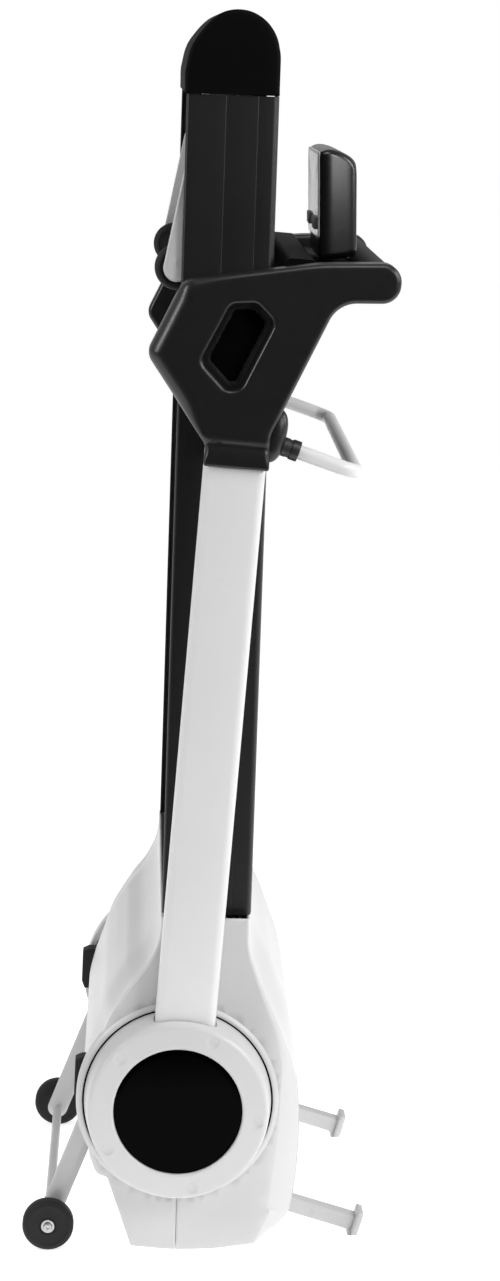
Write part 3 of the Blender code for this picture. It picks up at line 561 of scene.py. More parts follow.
# a, b, corner radius, width and depth of the rounded side edge, how far the middle stands proud
HOOD_LINE = np.array([
    (0.0850, 0.2427, 0.00, 0.0035, 0.0035, 0.002), (0.0858, 0.2010, 0.10, 0.0040, 0.0040, 0.013),
    (0.1030, 0.1550, 0.20, 0.0050, 0.0060, 0.017), (0.1310, 0.0940, 0.40, 0.0080, 0.0100, 0.013),
    (0.1480, 0.0500, 0.30, 0.0150, 0.0180, 0.006), (0.1575, 0.0100, 0.30, 0.0260, 0.0260, 0.002),
    (0.1605, -0.0520, 0.40, 0.0310, 0.0300, 0.001), (0.1580, -0.1100, 0.30, 0.0345, 0.0320, 0.001),
    (0.1510, -0.1600, 0.035, 0.0340, 0.0320, 0.0), (0.1060, -0.1920, 0.010, 0.0040, 0.0060, 0.0),
    (0.0550, -0.1990, 0.30, 0.0025, 0.0025, 0.0), (0.0040, -0.2020, 0.30, 0.0025, 0.0025, 0.0),
    (-0.0550, -0.1980, 0.0025, 0.0025, 0.0025, 0.0), (-0.0880, -0.1060, 0.004, 0.0025, 0.0025, 0.0),
    (-0.1020, -0.1035, 0.012, 0.0060, 0.0080, 0.0), (-0.1115, -0.0800, 0.020, 0.0060, 0.0080, 0.0),
    (-0.1180, -0.0300, 0.10, 0.0050, 0.0060, 0.003), (-0.1180, 0.0250, 0.10, 0.0045, 0.0050, 0.005),
    (-0.1080, 0.0610, 0.10, 0.0040, 0.0045, 0.006), (-0.0985, 0.0850, 0.10, 0.0040, 0.0040, 0.007),
    (-0.0920, 0.1050, 0.10, 0.0035, 0.0040, 0.008), (-0.0780, 0.1290, 0.10, 0.0035, 0.0035, 0.009),
    (-0.0630, 0.1530, 0.10, 0.0035, 0.0035, 0.009), (-0.0450, 0.1760, 0.10, 0.0035, 0.0035, 0.007),
    (-0.0330, 0.2010, 0.10, 0.0035, 0.0035, 0.005), (-0.0287, 0.2215, 0.10, 0.0035, 0.0035, 0.002),
    (-0.0283, 0.2427, 0.00, 0.0035, 0.0035, 0.0)])


def hood():
    """Two shells that meet at a seam. The open (a, b) line of the hood is carried across y; between the
    middle and each flat side it turns through an edge of the line's own width and depth, a quarter ellipse
    where it is narrow and nearly a straight bevel where it is broad, and the middle stands proud by a
    smooth step in y. Each side is flat but for a raised collar round the upright's ring."""
    line, place = cornered(HOOD_LINE[:, :2], HOOD_LINE[:, 2], closed=False, step=0.004)
    width, depth, proud = (np.interp(place, np.arange(len(HOOD_LINE)), HOOD_LINE[:, k]) for k in (3, 4, 5))
    closed = np.vstack([line, line[:1]])
    inside = inwards(closed[:-1], closed=False)
    inside *= np.sign((inside[len(inside) // 2] * (-line[len(line) // 2])).sum())
    across = np.sin(np.linspace(-1, 1, 61) * math.pi / 2)[:, None]
    y = across * (HOOD_SIDE - depth)
    lift = proud * smooth((0.300 - np.abs(y)) / 0.10)
    rows = [np.stack([line[:, 0] - inside[:, 0] * l, yy, line[:, 1] - inside[:, 1] * l], -1)
            for l, yy in zip(lift, y)]
    share = np.linspace(0, 1, 12)[:, None]
    angle, flat = share * math.pi / 2, 0.8 * smooth(width / 0.02)
    turn_in = width * ((1 - np.cos(angle)) * (1 - flat) + share * flat)
    turn_out = HOOD_SIDE - depth * ((1 - np.sin(angle)) * (1 - flat) + (1 - share) * flat)
    bands = [np.stack([line[:, 0] + inside[:, 0] * turn_in, side * turn_out,
                       line[:, 1] + inside[:, 1] * turn_in], -1) for side in (-1, 1)]
    skin = Skin(DECK)
    skin.grid(np.array(rows))
    rim = line + inside * width[:, None]
    points, faces = tiled(rim, 0.010, rims=(ring(0.128, steps=120),), rim_steps=(0.0, 0.003, -0.003))
    centre = points[faces].mean(1)
    faces = faces[np.hypot(*centre.T) > 0.1275]
    for side, band in zip((-1, 1), bands):
        skin.grid(band)
        skin.add(np.stack([points[:, 0], np.full(len(points), side * HOOD_SIDE), points[:, 1]], -1), faces)
    mesh = bpy.data.meshes.new("hood")
    mesh.from_pydata(np.concatenate(skin.points).tolist(), [], skin.faces)
    for name, node, sign in (("hood_running_shell", "hood_top", 1), ("hood_floor_shell", "hood_pan", -1)):
        build = bmesh.new()
        build.from_mesh(mesh)
        bmesh.ops.remove_doubles(build, verts=build.verts, dist=1e-5)
        normal = DECK.row((sign, 0, 0)) - DECK.origin
        bmesh.ops.bisect_plane(build, geom=build.verts[:] + build.edges[:] + build.faces[:], dist=1e-6,
                               plane_co=DECK.row((SEAM + sign * 0.00028, 0, 0)), plane_no=normal,
                               clear_inner=True)
        half = bpy.data.meshes.new(name)
        build.to_mesh(half)
        build.free()
        obj = piece(name, half, "deck", WHITE_MOULDING, (node,), angle=40, merge=1e-5)
        facing(obj, DECK.row((0.0, 0, 0.02)))
        wall = obj.modifiers.new("wall", "SOLIDIFY")
        wall.thickness, wall.offset = 0.003, -1
    for word, side in SIDES:
        profile = [(0.1230, HOOD_SIDE - 0.024), (0.1230, HOOD_SIDE + 0.0022), (0.1232, HOOD_SIDE + 0.0029),
                   (0.1239, HOOD_SIDE + 0.0033), (0.1262, HOOD_SIDE + 0.0031), (0.1284, HOOD_SIDE + 0.0018),
                   (0.1302, HOOD_SIDE + 0.0004), (0.1311, HOOD_SIDE - 0.0004), (0.1311, HOOD_SIDE - 0.020),
                   (0.1300, HOOD_SIDE - 0.024)]
        Skin(DECK).turned(profile, steps=144, side=side).made("ring_collar_" + word, "deck", WHITE_MOULDING,
                                                              slot="hood_top", angle=50)
        # a near black ring filling the gap between the ring cover and the collar: painted shade of the gap
        profile = [(0.1186, HOOD_SIDE - 0.006), (0.1236, HOOD_SIDE - 0.006), (0.1236, HOOD_SIDE + 0.0002),
                   (0.1225, HOOD_SIDE + 0.0010), (0.1210, HOOD_SIDE + 0.0010), (0.1186, HOOD_SIDE - 0.001)]
        Skin(DECK).turned(profile, steps=144, side=side).made("ring_seal_" + word, "deck", SHADE_BLACK,
                                                              slot="wheel_bolt_left", angle=50)


def facing(obj, centre):
    """Turns an open shell's faces away from a point inside it, where most of them look at it."""
    mesh = obj.data
    n = len(mesh.polygons)
    normals, middles = np.empty(n * 3), np.empty(n * 3)
    mesh.polygons.foreach_get("normal", normals)
    mesh.polygons.foreach_get("center", middles)
    if ((middles.reshape(-1, 3) - centre) * normals.reshape(-1, 3)).sum() < 0:
        mesh.flip_normals()


# ---------------------------------------------------------------- uprights
ARM_LOW, ARM_TOP = 0.324, 0.359
RECESS = [(-0.0225, 1.0300), (0.0090, 1.0340), (0.0335, 1.0120), (-0.0010, 0.9275), (-0.0180, 0.9235),
          (-0.0540, 0.9570)]
HANDLE = [(-0.0395, 0.8280), (-0.0385, 0.8530), (-0.1213, 0.9601), (-0.0828, 1.0544), (0.0825, 1.0890),
          (0.1845, 1.0980), (0.1845, 1.0480), (0.1089, 1.0422), (0.0530, 0.9030), (0.0405, 0.8720),
          (0.0425, 0.8280)]
HANDLE_RADIUS = [0.003, 0.020, 0.020, 0.024, 0.30, 0.0245, 0.0235, 0.038, 0.03, 0.03, 0.003]


def tube_section(grow=0.0):
    """The (a, depth) section of an upright tube, grown all round by a little, its outer face bowed by a
    shallow arc."""
    half, deep, corner = 0.039 + grow, ARM_TOP - ARM_LOW + grow, 0.0125
    box = [(-half, -grow), (half, -grow), (half, deep - 0.0026), (0.0, deep), (-half, deep - 0.0026)]
    return cornered(box, [corner, corner, corner, 0.6, corner], step=0.003)[0]


def arms():
    """Each upright tube is a rounded (a, y) section run along b, its outer face bowed by a shallow arc."""
    section = tube_section()
    b = np.concatenate([[0.1005, 0.1010, 0.1020], np.linspace(0.104, 0.880, 50)])
    shrink = np.concatenate([[0.0012, 0.0005, 0.0001], np.zeros(50)])
    inside = inwards(section)
    for word, side in SIDES:
        skin = Skin(UPRIGHT)
        p = section + inside * shrink[:, None, None]
        p = np.stack([p[..., 0], side * (ARM_LOW + p[..., 1]), np.broadcast_to(b[:, None], p.shape[:2])], -1)
        skin.grid(p, round_v=True).lid(p[0]).lid(p[-1])
        skin.turned([(0.001, ARM_LOW - 0.0005), (0.118, ARM_LOW - 0.0005), (0.118, ARM_LOW + 0.002),
                     (0.001, ARM_LOW + 0.002)], steps=72, side=side)
        skin.made("upright_tube_" + word, "uprights", WHITE_POWDER, ("arm_" + word,))


def ring_covers():
    """The ring cover is a (radius, angle) grid: a steep outer wall, a rounded crease and a nearly flat
    face, with five shallow round dimples and a rolled lip at the hole; the upright tube runs into its wall
    through a notch."""
    profile = np.array([(0.1207, 0.3190), (0.1207, 0.3212), (0.1204, 0.3250), (0.1197, 0.3320),
                        (0.1189, 0.3410), (0.1181, 0.3500), (0.1172, 0.3590), (0.1164, 0.3640),
                        (0.1152, 0.3676), (0.1134, 0.3698), (0.1110, 0.3709), (0.1070, 0.3713),
                        (0.0960, 0.3717), (0.0880, 0.3721), (0.0858, 0.3724), (0.0843, 0.3721),
                        (0.0832, 0.3712), (0.0826, 0.3700), (0.0824, 0.3680), (0.0824, 0.3265)])
    knot = np.arange(len(profile))
    fine = np.unique(np.concatenate([knot[:3], np.linspace(3, 18, 80), knot[18:]]))
    radius, height = np.interp(fine, knot, profile[:, 0]), np.interp(fine, knot, profile[:, 1])
    for word, side in SIDES:
        t = np.linspace(0, TAU, 720, endpoint=False)[:, None]
        a, b = radius * np.cos(t), radius * np.sin(t)
        y = np.broadcast_to(height, a.shape).copy()
        for way in map(math.radians, (141, 69, -3, -75, -147)):
            away = np.hypot(a - 0.1020 * math.cos(way), b - 0.1020 * math.sin(way))
            y -= 0.0020 * np.sqrt(np.clip(1 - (away / 0.0078) ** 2, 0, 1)) * (height > 0.360)
        skin = Skin(UPRIGHT)
        skin.grid(np.stack([a, y * side, b], -1), round_u=True, round_v=True)
        obj = skin.made("ring_cover_moulding_" + word, "uprights", WHITE_MOULDING, ("ring_cover_" + word,),
                        angle=50)
        notch(obj, side)


def notch(obj, side):
    """Cuts the way in of an upright tube, a little larger than the tube all round, out of a piece on the
    uprights."""
    section = tube_section(0.0014)
    b = np.array([0.0990, 0.14])[:, None]
    p = np.stack(np.broadcast_arrays(section[:, 0], side * (ARM_LOW + section[:, 1]), b), -1)
    cutter = Skin(UPRIGHT).grid(p, round_v=True).lid(p[0]).lid(p[-1]).made("notch", "uprights", SHADE_BLACK)
    cut = obj.modifiers.new("notch", "BOOLEAN")
    cut.operation, cut.solver, cut.object = "DIFFERENCE", "EXACT", cutter
    settle(obj, 50)
    cutter.parent = None
    bpy.data.objects.remove(cutter)


def settle(obj, angle=35):
    """A piece's modifiers made part of its mesh."""
    graph = bpy.context.evaluated_depsgraph_get()
    mesh = bpy.data.meshes.new_from_object(obj.evaluated_get(graph))
    obj.modifiers.clear()
    obj.data = mesh
    mesh.shade_smooth()
    mesh.set_sharp_from_angle(angle=math.radians(angle))


def hub_caps():
    """A polished disc: flat with a slight dome and a small rolled edge, set just inside the ring cover's
    lip."""
    edge = RING_IN - 0.0005
    t = np.linspace(0, 1, 14)
    dome = np.stack([(edge - 0.0015) * (1 - t), 0.3690 + 0.0016 * (1 - (1 - t) ** 2)], -1)
    profile = np.vstack([[(0, 0.3268), (edge, 0.3268), (edge, 0.3680), (edge - 0.0004, 0.3687)], dome])
    for word, side in SIDES:
        Skin(UPRIGHT).turned(profile, steps=128, side=side).made("hub_disc_" + word, "uprights", CAP_GLOSS,
                                                                 ("hub_cap_" + word,), angle=60)


def handles():
    """Each moulded handle is a slab over a cornered outline. Its outer face falls in a quarter round whose
    radius grows from a thin line on the running side to a broad soft edge behind; a finger recess with a
    rolled lip is sunk into it, and a shoulder goes round the neck above the socket for the tube."""
    outline, _ = cornered(HANDLE, HANDLE_RADIUS, step=0.0035)
    recess, _ = cornered(RECESS, [0.012, 0.010, 0.014, 0.012, 0.012, 0.014], step=0.003)

    def outer(p, d):
        a, b = p[:, 0], p[:, 1]
        behind = smooth((-0.012 - a) / 0.055) * smooth((b - 0.858) / 0.05) * smooth((1.075 - b) / 0.05)
        edge = 0.0070 + 0.0135 * behind - 0.003 * smooth((0.846 - b) / 0.01)
        fall = fillet(d, edge)
        sunk = gap_to(p, recess)
        lip = fillet(np.maximum(sunk, 0), 0.0055)
        well = 0.0055 + 0.0245 * smooth(-sunk / 0.0075)
        fall = np.maximum(fall, np.where(sunk > 0, lip, well))
        shoulder = 0.0034 * np.exp(-((b - 0.8555) / 0.0060) ** 2) * smooth((0.875 - b) / 0.02)
        return fall + shoulder + 0.0012 * smooth((0.852 - b) / 0.006)

    inner = lambda p, d: fillet(d, 0.006)
    for word, side in SIDES:
        skin = Skin(UPRIGHT)
        skin.slab(outline, 0.3196, 0.3664, outer, inner, 0.0035, side,
                  steps=(0.0003, 0.001, 0.002, 0.0034, 0.005, 0.007, 0.0095, 0.0125, 0.016, 0.020),
                  rims=(recess,), rim_steps=(0, -0.0008, -0.002, -0.0035, -0.0055, -0.0085, 0.0008, 0.0018,
                                             0.003, 0.0045, 0.0065))
        obj = skin.made("handle_moulding_" + word, "uprights", HANDLE_BLACK, ("handle_" + word,), angle=60)
        # painted shade: each point's depth in the finger recess, stored as the mask that turns the handle's
        # colour near black there
        spots = np.empty(len(obj.data.vertices) * 3)
        obj.data.vertices.foreach_get("co", spots)
        spots = UPRIGHT.local(spots.reshape(-1, 3))
        deep = smooth((-gap_to(spots[:, ::2], recess) - 0.0022) / 0.0030) * (spots[:, 1] * side > 0.330)
        obj.data.attributes.new("finger_recess_shade", "FLOAT", "POINT").data.foreach_set("value", deep)
        # a near black sheet over the recess floor: painted shade of the finger recess
        floor = recess + inwards(recess) * 0.0064
        Skin(UPRIGHT).slab(floor, 0.3340, 0.3371, None, None, 0.01, side).made(
            "finger_liner_" + word, "uprights", SHADE_BLACK, slot="handle_left", angle=60)
        pod = Skin(UPRIGHT)
        u, v = np.linspace(0, TAU, 48, endpoint=False)[:, None], np.linspace(0, math.pi, 25)
        power = lambda t, n: np.sign(t) * np.abs(t) ** n
        long, wide = power(np.cos(v), 0.75) * 0.0345, np.sin(v) * power(np.cos(u), 0.8)
        thick = power(np.sin(u), 0.8) * np.sin(v)
        a0, b0, lean = 0.0455, 0.8705, math.radians(9)
        a = a0 + wide * 0.0155 * math.cos(lean) + long * math.sin(lean)
        b = b0 - wide * 0.0155 * math.sin(lean) + long * math.cos(lean)
        pod.grid(np.stack([a, side * (0.3365 + thick * 0.0165), b], -1), round_u=True)
        pod.made("bar_socket_" + word, "uprights", SOFT_BLACK, slot="handle_left", angle=60)


BAR_START, BAR_END, BAR_Y, BAR_RADIUS = np.array([0.048, 0.8605]), np.array([0.1525, 0.8325]), 0.333, 0.0093


def guard_bar():
    """A bent tube: out of the left handle, a quarter round, across, and back into the right handle; each
    end stands in a black collar of two rings."""
    run = (BAR_END - BAR_START) / np.linalg.norm(BAR_END - BAR_START)
    bend, t = 0.0225, np.linspace(0, math.pi / 2, 17)[:, None]
    corner = BAR_END - run * bend
    straight = BAR_START + (corner - BAR_START) * np.linspace(0, 1, 8)[:-1, None]
    turn_y = (bend * (1 - np.cos(t)) - BAR_Y).ravel()
    half = np.vstack([np.insert(straight, 1, -BAR_Y, axis=1),
                      np.insert(corner + run * bend * np.sin(t), 1, turn_y, axis=1)])
    path = np.vstack([half, [(half[-1, 0], 0, half[-1, 2])], half[::-1] * (1, -1, 1)])
    tube(UPRIGHT, path, BAR_RADIUS).made("guard_tube", "uprights", WHITE_POWDER, ("guard_bar",))
    for word, side in SIDES:
        s = np.array([0.010, 0.0105, 0.0165, 0.017, 0.0195, 0.0205, 0.0212, 0.0222, 0.0312, 0.0317, 0.0318])
        r = np.array([0.0117, 0.0122, 0.0122, 0.0116, 0.0116, 0.0116, 0.0127, 0.0131, 0.0131, 0.0126, 0.0096])
        path = np.insert(BAR_START + run * s[:, None], 1, side * BAR_Y, axis=1)
        tube(UPRIGHT, path, r).made("bar_collar_rings_" + word, "uprights", KEY_BLACK,
                                    ("bar_collar_" + word,))


def tube(axes, path, radius, steps=32):
    """A round bar along a path: circles square to it, turned as little as possible from one to the next."""
    path = np.asarray(path, float)
    radius = np.broadcast_to(radius, len(path)).astype(float)
    along = np.diff(path, axis=0)
    along /= np.maximum(np.linalg.norm(along, axis=1, keepdims=True), 1e-12)
    along = np.vstack([along[:1], along[1:] + along[:-1], along[-1:]])
    along /= np.linalg.norm(along, axis=1, keepdims=True)
    plane = np.cross(along[0], along[len(along) // 2 - 1])
    if np.linalg.norm(plane) < 1e-3:
        plane = np.cross(along[0], (0.3, 0.2, 1.0) if abs(along[0][2]) < 0.9 else (1.0, 0.2, 0))
    plane /= np.linalg.norm(plane)
    v = plane - along * (along @ plane)[:, None]
    v /= np.linalg.norm(v, axis=1, keepdims=True)
    u = np.cross(v, along)
    t = np.linspace(0, TAU, steps, endpoint=False)
    circle = u[:, None] * np.cos(t)[:, None] + v[:, None] * np.sin(t)[:, None]
    p = path[:, None] + radius[:, None, None] * circle
    return Skin(axes).grid(p, round_v=True).lid(p[0]).lid(p[-1])


def cross_bars():
    """The foam hand bar across the front, with a moulded ring by each handle, and the bridge that carries
    the console: a rounded (a, b) section run across y."""
    y = np.array([-0.3190, -0.3185, -0.309, -0.3085, -0.302, -0.3012, -0.3, 0, 0.3, 0.3012, 0.302, 0.3085,
                  0.309, 0.3185, 0.3190])
    r = np.array([0.0218, 0.0222, 0.0222, 0.0215, 0.0215, 0.0215, 0.0208, 0.0206, 0.0208, 0.0215, 0.0215,
                  0.0215, 0.0222, 0.0222, 0.0218])
    fine = np.unique(np.concatenate([y, np.linspace(-0.3, 0.3, 61)]))
    path = np.stack([np.full(len(fine), 0.160), fine, np.full(len(fine), 1.0725)], -1)
    tube(UPRIGHT, path, np.interp(fine, y, r), 48).made("foam_hand_bar", "uprights", FOAM, ("grip_bar",))
    box = [(0.040, 1.060), (0.1372, 1.060), (0.1372, 1.074), (0.082, 1.074), (0.077, 1.0903), (0.040, 1.0903)]
    section, _ = cornered(box, [0.006, 0.006, 0.004, 0.002, 0.004, 0.010], step=0.004)
    y = np.array([-0.3190, -0.16, -0.14, 0.14, 0.16, 0.3190])[:, None]
    p = np.stack(np.broadcast_arrays(section[:, 0], y, section[:, 1]), -1)
    Skin(UPRIGHT).grid(p, round_v=True).lid(p[0]).lid(p[-1]).made("console_beam", "uprights", CAP_BLACK,
                                                               ("console_bridge",), angle=50)


# ---------------------------------------------------------------- console
def panel_loops(rows, steps=8):
    """Rounded rectangles, one for each row of (x, half width, low z, high z, corner radius)."""
    t = np.linspace(0, math.pi / 2, steps)
    loops = []
    for x, half, low, high, radius in rows:
        y = np.concatenate([half - radius + radius * np.cos(t), radius - half - radius * np.sin(t),
                            radius - half - radius * np.cos(t), half - radius + radius * np.sin(t)])
        z = np.concatenate([high - radius + radius * np.sin(t), high - radius + radius * np.cos(t),
                            low + radius - radius * np.sin(t), low + radius - radius * np.cos(t)])
        loops.append(np.stack([np.full(len(y), x), y, z], -1))
    return np.array(loops)


def console():
    """The face panel is a thin plate: rounded rectangles stacked from its rolled front edge back. The shell
    behind it is a profile along x of half widths, bottoms and tops: it peaks near the front, slopes down to
    the back and turns in at the sides."""
    front = panel_loops([(-0.0258, 0.1335, 0.0110, 0.1170, 0.006), (-0.0260, 0.1348, 0.0096, 0.1182, 0.006),
                         (-0.0257, 0.1360, 0.0086, 0.1194, 0.007), (-0.0250, 0.1366, 0.0081, 0.1200, 0.007),
                         (-0.0240, 0.1368, 0.0079, 0.1203, 0.007), (-0.0222, 0.1368, 0.0079, 0.1203, 0.007)])
    Skin(CONSOLE).grid(front, round_v=True).lid(front[0]).lid(front[-1]).made(
        "console_face_panel", "console", PANEL_GREY, ("console_face",), angle=50)
    t = np.linspace(0, TAU, 64, endpoint=False)
    loops = []
    for x, grow in ((-0.0185, 0.0), (-0.0255, 0.0), (-0.0263, 0.0), (-0.0266, -0.0005), (-0.0268, -0.0014),
                    (-0.0267, -0.0030), (-0.0265, -0.0050)):
        power = lambda v: np.sign(v) * np.abs(v) ** 0.55
        loops.append(np.stack([np.full(64, x), (0.0125 + grow) * power(np.cos(t)),
                               0.028 + (0.0085 + grow) * power(np.sin(t))], -1))
    loops = np.array(loops)
    Skin(CONSOLE).grid(loops, round_v=True).lid(loops[0]).lid(loops[-1]).made(
        "safety_key_cap", "safety_key", KEY_RED, ("safety_key",), angle=50)
    x = np.array([-0.0236, -0.0233, -0.0225, -0.0210, -0.0170, -0.0120, -0.0060, 0.0020, 0.0100, 0.0150,
                  0.0190, 0.0220, 0.0238, 0.0247, 0.0252])
    half = np.array([0.1366, 0.1373, 0.1378, 0.1380, 0.1380, 0.1377, 0.1361, 0.1334, 0.1306, 0.1288, 0.1271,
                     0.1254, 0.1232, 0.1212, 0.1185])
    top = np.array([0.1180, 0.1192, 0.1202, 0.1213, 0.1232, 0.1240, 0.1236, 0.1215, 0.1180, 0.1152, 0.1122,
                    0.1088, 0.1060, 0.1030, 0.0985])
    low = np.array([-0.0148, -0.0156, -0.0162, -0.0166, -0.0167, -0.0167, -0.0167, -0.0166, -0.0165,
                    -0.0163, -0.0160, -0.0150, -0.0138, -0.0122, -0.0090])
    corner = np.interp(x, [-0.0236, -0.012, 0.010, 0.0252], [0.006, 0.008, 0.010, 0.014])
    shell = panel_loops(np.stack([x, half, low, top, corner], -1), 10)
    Skin(CONSOLE).grid(shell, round_v=True).lid(shell[0]).lid(shell[-1]).made(
        "console_shell", "console", GLOSS_BLACK, ("console_back",), angle=50)


# ---------------------------------------------------------------- feet, legs, wheels, levers
FOOT_AXES = Axes((0.1958, 0, 0.0131), math.radians(17.7))
FOOT_HALF, FOOT_LONG, FOOT_SIDES = 0.010, 0.205, (0.1996, 0.2244)
WHEEL_AT, WHEEL_R = (-0.208, 0.0335), 0.0335
LEG_LEAN = math.radians(20.5) + DECK_LEAN


def feet():
    """Each sliding foot is a square tube with rounded corners and a shallow pin dimple, capped by an end
    plate with rounded corners whose sole is cut level with the floor."""
    for word, side in SIDES:
        box = [(-FOOT_LONG, -FOOT_HALF), (-0.0002, -FOOT_HALF), (-0.0002, FOOT_HALF), (-FOOT_LONG, FOOT_HALF)]
        outline, _ = cornered(box, 0.0006, step=0.003)
        edge = lambda p, d: fillet(d, 0.0022)
        dimple = lambda p, d: edge(p, d) + 0.0016 * np.clip(
            1 - (np.hypot(p[:, 0] + 0.060, p[:, 1]) / 0.0042) ** 2, 0, 1)
        Skin(FOOT_AXES).slab(outline, *FOOT_SIDES, dimple, edge, 0.002, side,
                             steps=(0.0003, 0.0009, 0.0015, 0.0022)).made(
            "foot_bar_" + word, "foot_" + word, GREY_POWDER, slot="foot_" + word, angle=60)
        plate, _ = cornered([(0.1905, -0.030), (0.2335, -0.030), (0.2335, 0.019), (0.1905, 0.019)], 0.006,
                            step=0.002)
        x = np.array([0.0, 0.0006, 0.0070, 0.0077, 0.008])[:, None]
        tuck = np.array([0.0006, 0.0, 0.0, 0.0006, 0.0016])[:, None, None]
        p = plate + inwards(plate) * tuck
        p = np.stack([np.broadcast_to(x, p.shape[:2]), p[..., 0] * side, p[..., 1]], -1)
        row = FOOT_AXES.row(p)
        low = np.minimum(row[..., 2], 0.0)
        row[..., 2] -= low
        flat = Skin(ROW).grid(row, round_v=True).lid(row[0]).lid(row[-1])
        flat.made("foot_plate_" + word, "foot_" + word, GREY_POWDER, ("foot_" + word,), angle=60)


def legs():
    """Each wheel leg is a flat-sided tube: a rounded section that ends in a half round at the axle, leaning
    up to the hood; a thin brace joins the two axles."""
    foot = Axes((WHEEL_AT[0], 0, WHEEL_AT[1]), LEG_LEAN)
    for word, side in SIDES:
        half, long = 0.0142, 0.178
        outline, _ = cornered([(-half, long), (-half, -half), (half, -half), (half, long)],
                              [0.001, half, half, 0.001], step=0.003)
        edge = lambda p, d: 0.70 * fillet(d, 0.0141)
        Skin(foot).slab(outline, 0.2287, 0.2484, edge, edge, 0.004, side,
                        steps=(0.0002, 0.0007, 0.0015, 0.0026, 0.0040, 0.0060, 0.0088, 0.0115)).made(
            "wheel_leg_" + word, "deck", GREY_POWDER, ("leg_" + word,), angle=60)
    y = np.linspace(-0.2285, 0.2285, 9)
    path = np.stack([np.full(9, WHEEL_AT[0]), y, np.full(9, WHEEL_AT[1])], -1)
    tube(ROW, path, 0.0062, 24).made("axle_brace", "deck", GREY_POWDER, ("wheel_brace",))


def front_wheels():
    """Each transport wheel is a turned rubber tyre with a shallow dished face and a fine groove, on a
    washered bolt with a round socket in its head."""
    for word, side in SIDES:
        low, high = 0.2585, 0.2825
        tyre = [(0.0055, low), (0.012, low), (0.013, low + 0.0006), (0.0262, low + 0.0006),
                (0.0275, low + 0.0002), (0.0305, low + 0.0012), (0.0325, low + 0.0030),
                (WHEEL_R, low + 0.0055), (WHEEL_R, high - 0.0055), (0.0325, high - 0.0030),
                (0.0305, high - 0.0012), (0.0278, high - 0.0002), (0.0268, high - 0.0001),
                (0.0262, high - 0.0008), (0.0250, high - 0.0010), (0.0150, high - 0.0008),
                (0.0125, high - 0.0004), (0.0112, high - 0.0006), (0.0112, high - 0.0016),
                (0.0055, high - 0.0016)]
        Skin(ROW).turned(tyre, WHEEL_AT, 96, side).made("transport_wheel_" + word, "front_wheel_" + word,
                                                        RUBBER, ("front_wheel_" + word,), angle=40)
        inner = 0.2488
        bolt = [(0, inner), (0.009, inner), (0.009, low - 0.001), (0.005, low - 0.001),
                (0.005, high - 0.0014), (0.0084, high - 0.0014), (0.0090, high - 0.0008),
                (0.0090, high + 0.0002), (0.0085, high + 0.0008), (0.0061, high + 0.0008),
                (0.0059, high + 0.0004), (0.0057, high + 0.0004), (0.0056, high + 0.0034),
                (0.0050, high + 0.0042), (0.0036, high + 0.0045), (0.0030, high + 0.0040),
                (0.0028, high + 0.0016), (0, high + 0.0014)]
        Skin(ROW).turned(bolt, WHEEL_AT, 60, side).made("axle_bolt_" + word, "deck", STEEL,
                                                        ("wheel_bolt_" + word,), angle=40)


LEVER_HUB, LEVER_PIN = np.array([-0.0325, 1.0675]), np.array([-0.0095, 1.215])


def levers():
    """Each lever is a pressed plate over the outline of two circles and their tangents, rolled at the edge,
    with a plain raised chevron by the hub; behind it stands the wheel's stub, and a shaft joins the two
    levers."""
    way = LEVER_PIN - LEVER_HUB
    long, heading = np.linalg.norm(way), math.atan2(way[1], way[0])
    r_hub, r_pin = 0.0175, 0.0130
    lean = math.acos((r_hub - r_pin) / long)
    t1 = np.linspace(heading + lean, heading + TAU - lean, 40)
    t2 = np.linspace(heading - lean, heading + lean, 30)
    outline = np.vstack([LEVER_HUB + r_hub * np.stack([np.cos(t1), np.sin(t1)], -1),
                         LEVER_PIN + r_pin * np.stack([np.cos(t2), np.sin(t2)], -1)])
    outline, _ = cornered(outline, 0, step=0.004)

    def face(p, d):
        q = p - LEVER_HUB
        away = np.abs(q[:, 1] - 0.006)
        mark = np.abs(q[:, 0] + 0.003 - 0.55 * away)
        chevron = 0.0007 * smooth((0.0016 - mark) / 0.0012) * smooth((0.0062 - away) / 0.0012)
        return fillet(d, 0.0020) + 0.0007 - chevron - 0.0007 * smooth((0.0042 - d) / 0.0012)

    for word, side in SIDES:
        skin = Skin(DECK)
        skin.slab(outline, 0.2802, 0.2898, face, lambda p, d: fillet(d, 0.001), 0.0014, side,
                  steps=(0.0003, 0.0008, 0.0014, 0.002))
        skin.turned([(0, 0.2555), (0.006, 0.2555), (0.006, 0.2805), (0, 0.2805)], LEVER_HUB, 32, side)
        skin.made("lever_plate_" + word, "lever", GREY_POWDER, ("lever_" + word,), angle=50)
        low, high = 0.2575, 0.2780
        tyre = [(0.0070, low), (0.0130, low), (0.0140, low + 0.0012), (0.0200, low + 0.0012), (0.0215, low),
                (0.0245, low + 0.0004), (0.0272, low + 0.0024), (0.0285, low + 0.0055),
                (0.0285, high - 0.0055), (0.0272, high - 0.0024), (0.0245, high - 0.0004), (0.0215, high),
                (0.0200, high - 0.0012), (0.0140, high - 0.0012), (0.0130, high), (0.0070, high)]
        Skin(DECK).turned(tyre, LEVER_HUB, 80, side).made("deck_wheel_" + word, "rear_wheel_" + word, RUBBER,
                                                          ("rear_wheel_" + word,), angle=35)
    y = np.array([-0.2795, -0.27, 0, 0.27, 0.2795])
    path = np.stack([np.full(5, LEVER_PIN[0]), y, np.full(5, LEVER_PIN[1])], -1)
    tube(DECK, path, 0.009, 32).made("lever_cross_shaft", "lever", GREY_POWDER, ("lever_shaft",))


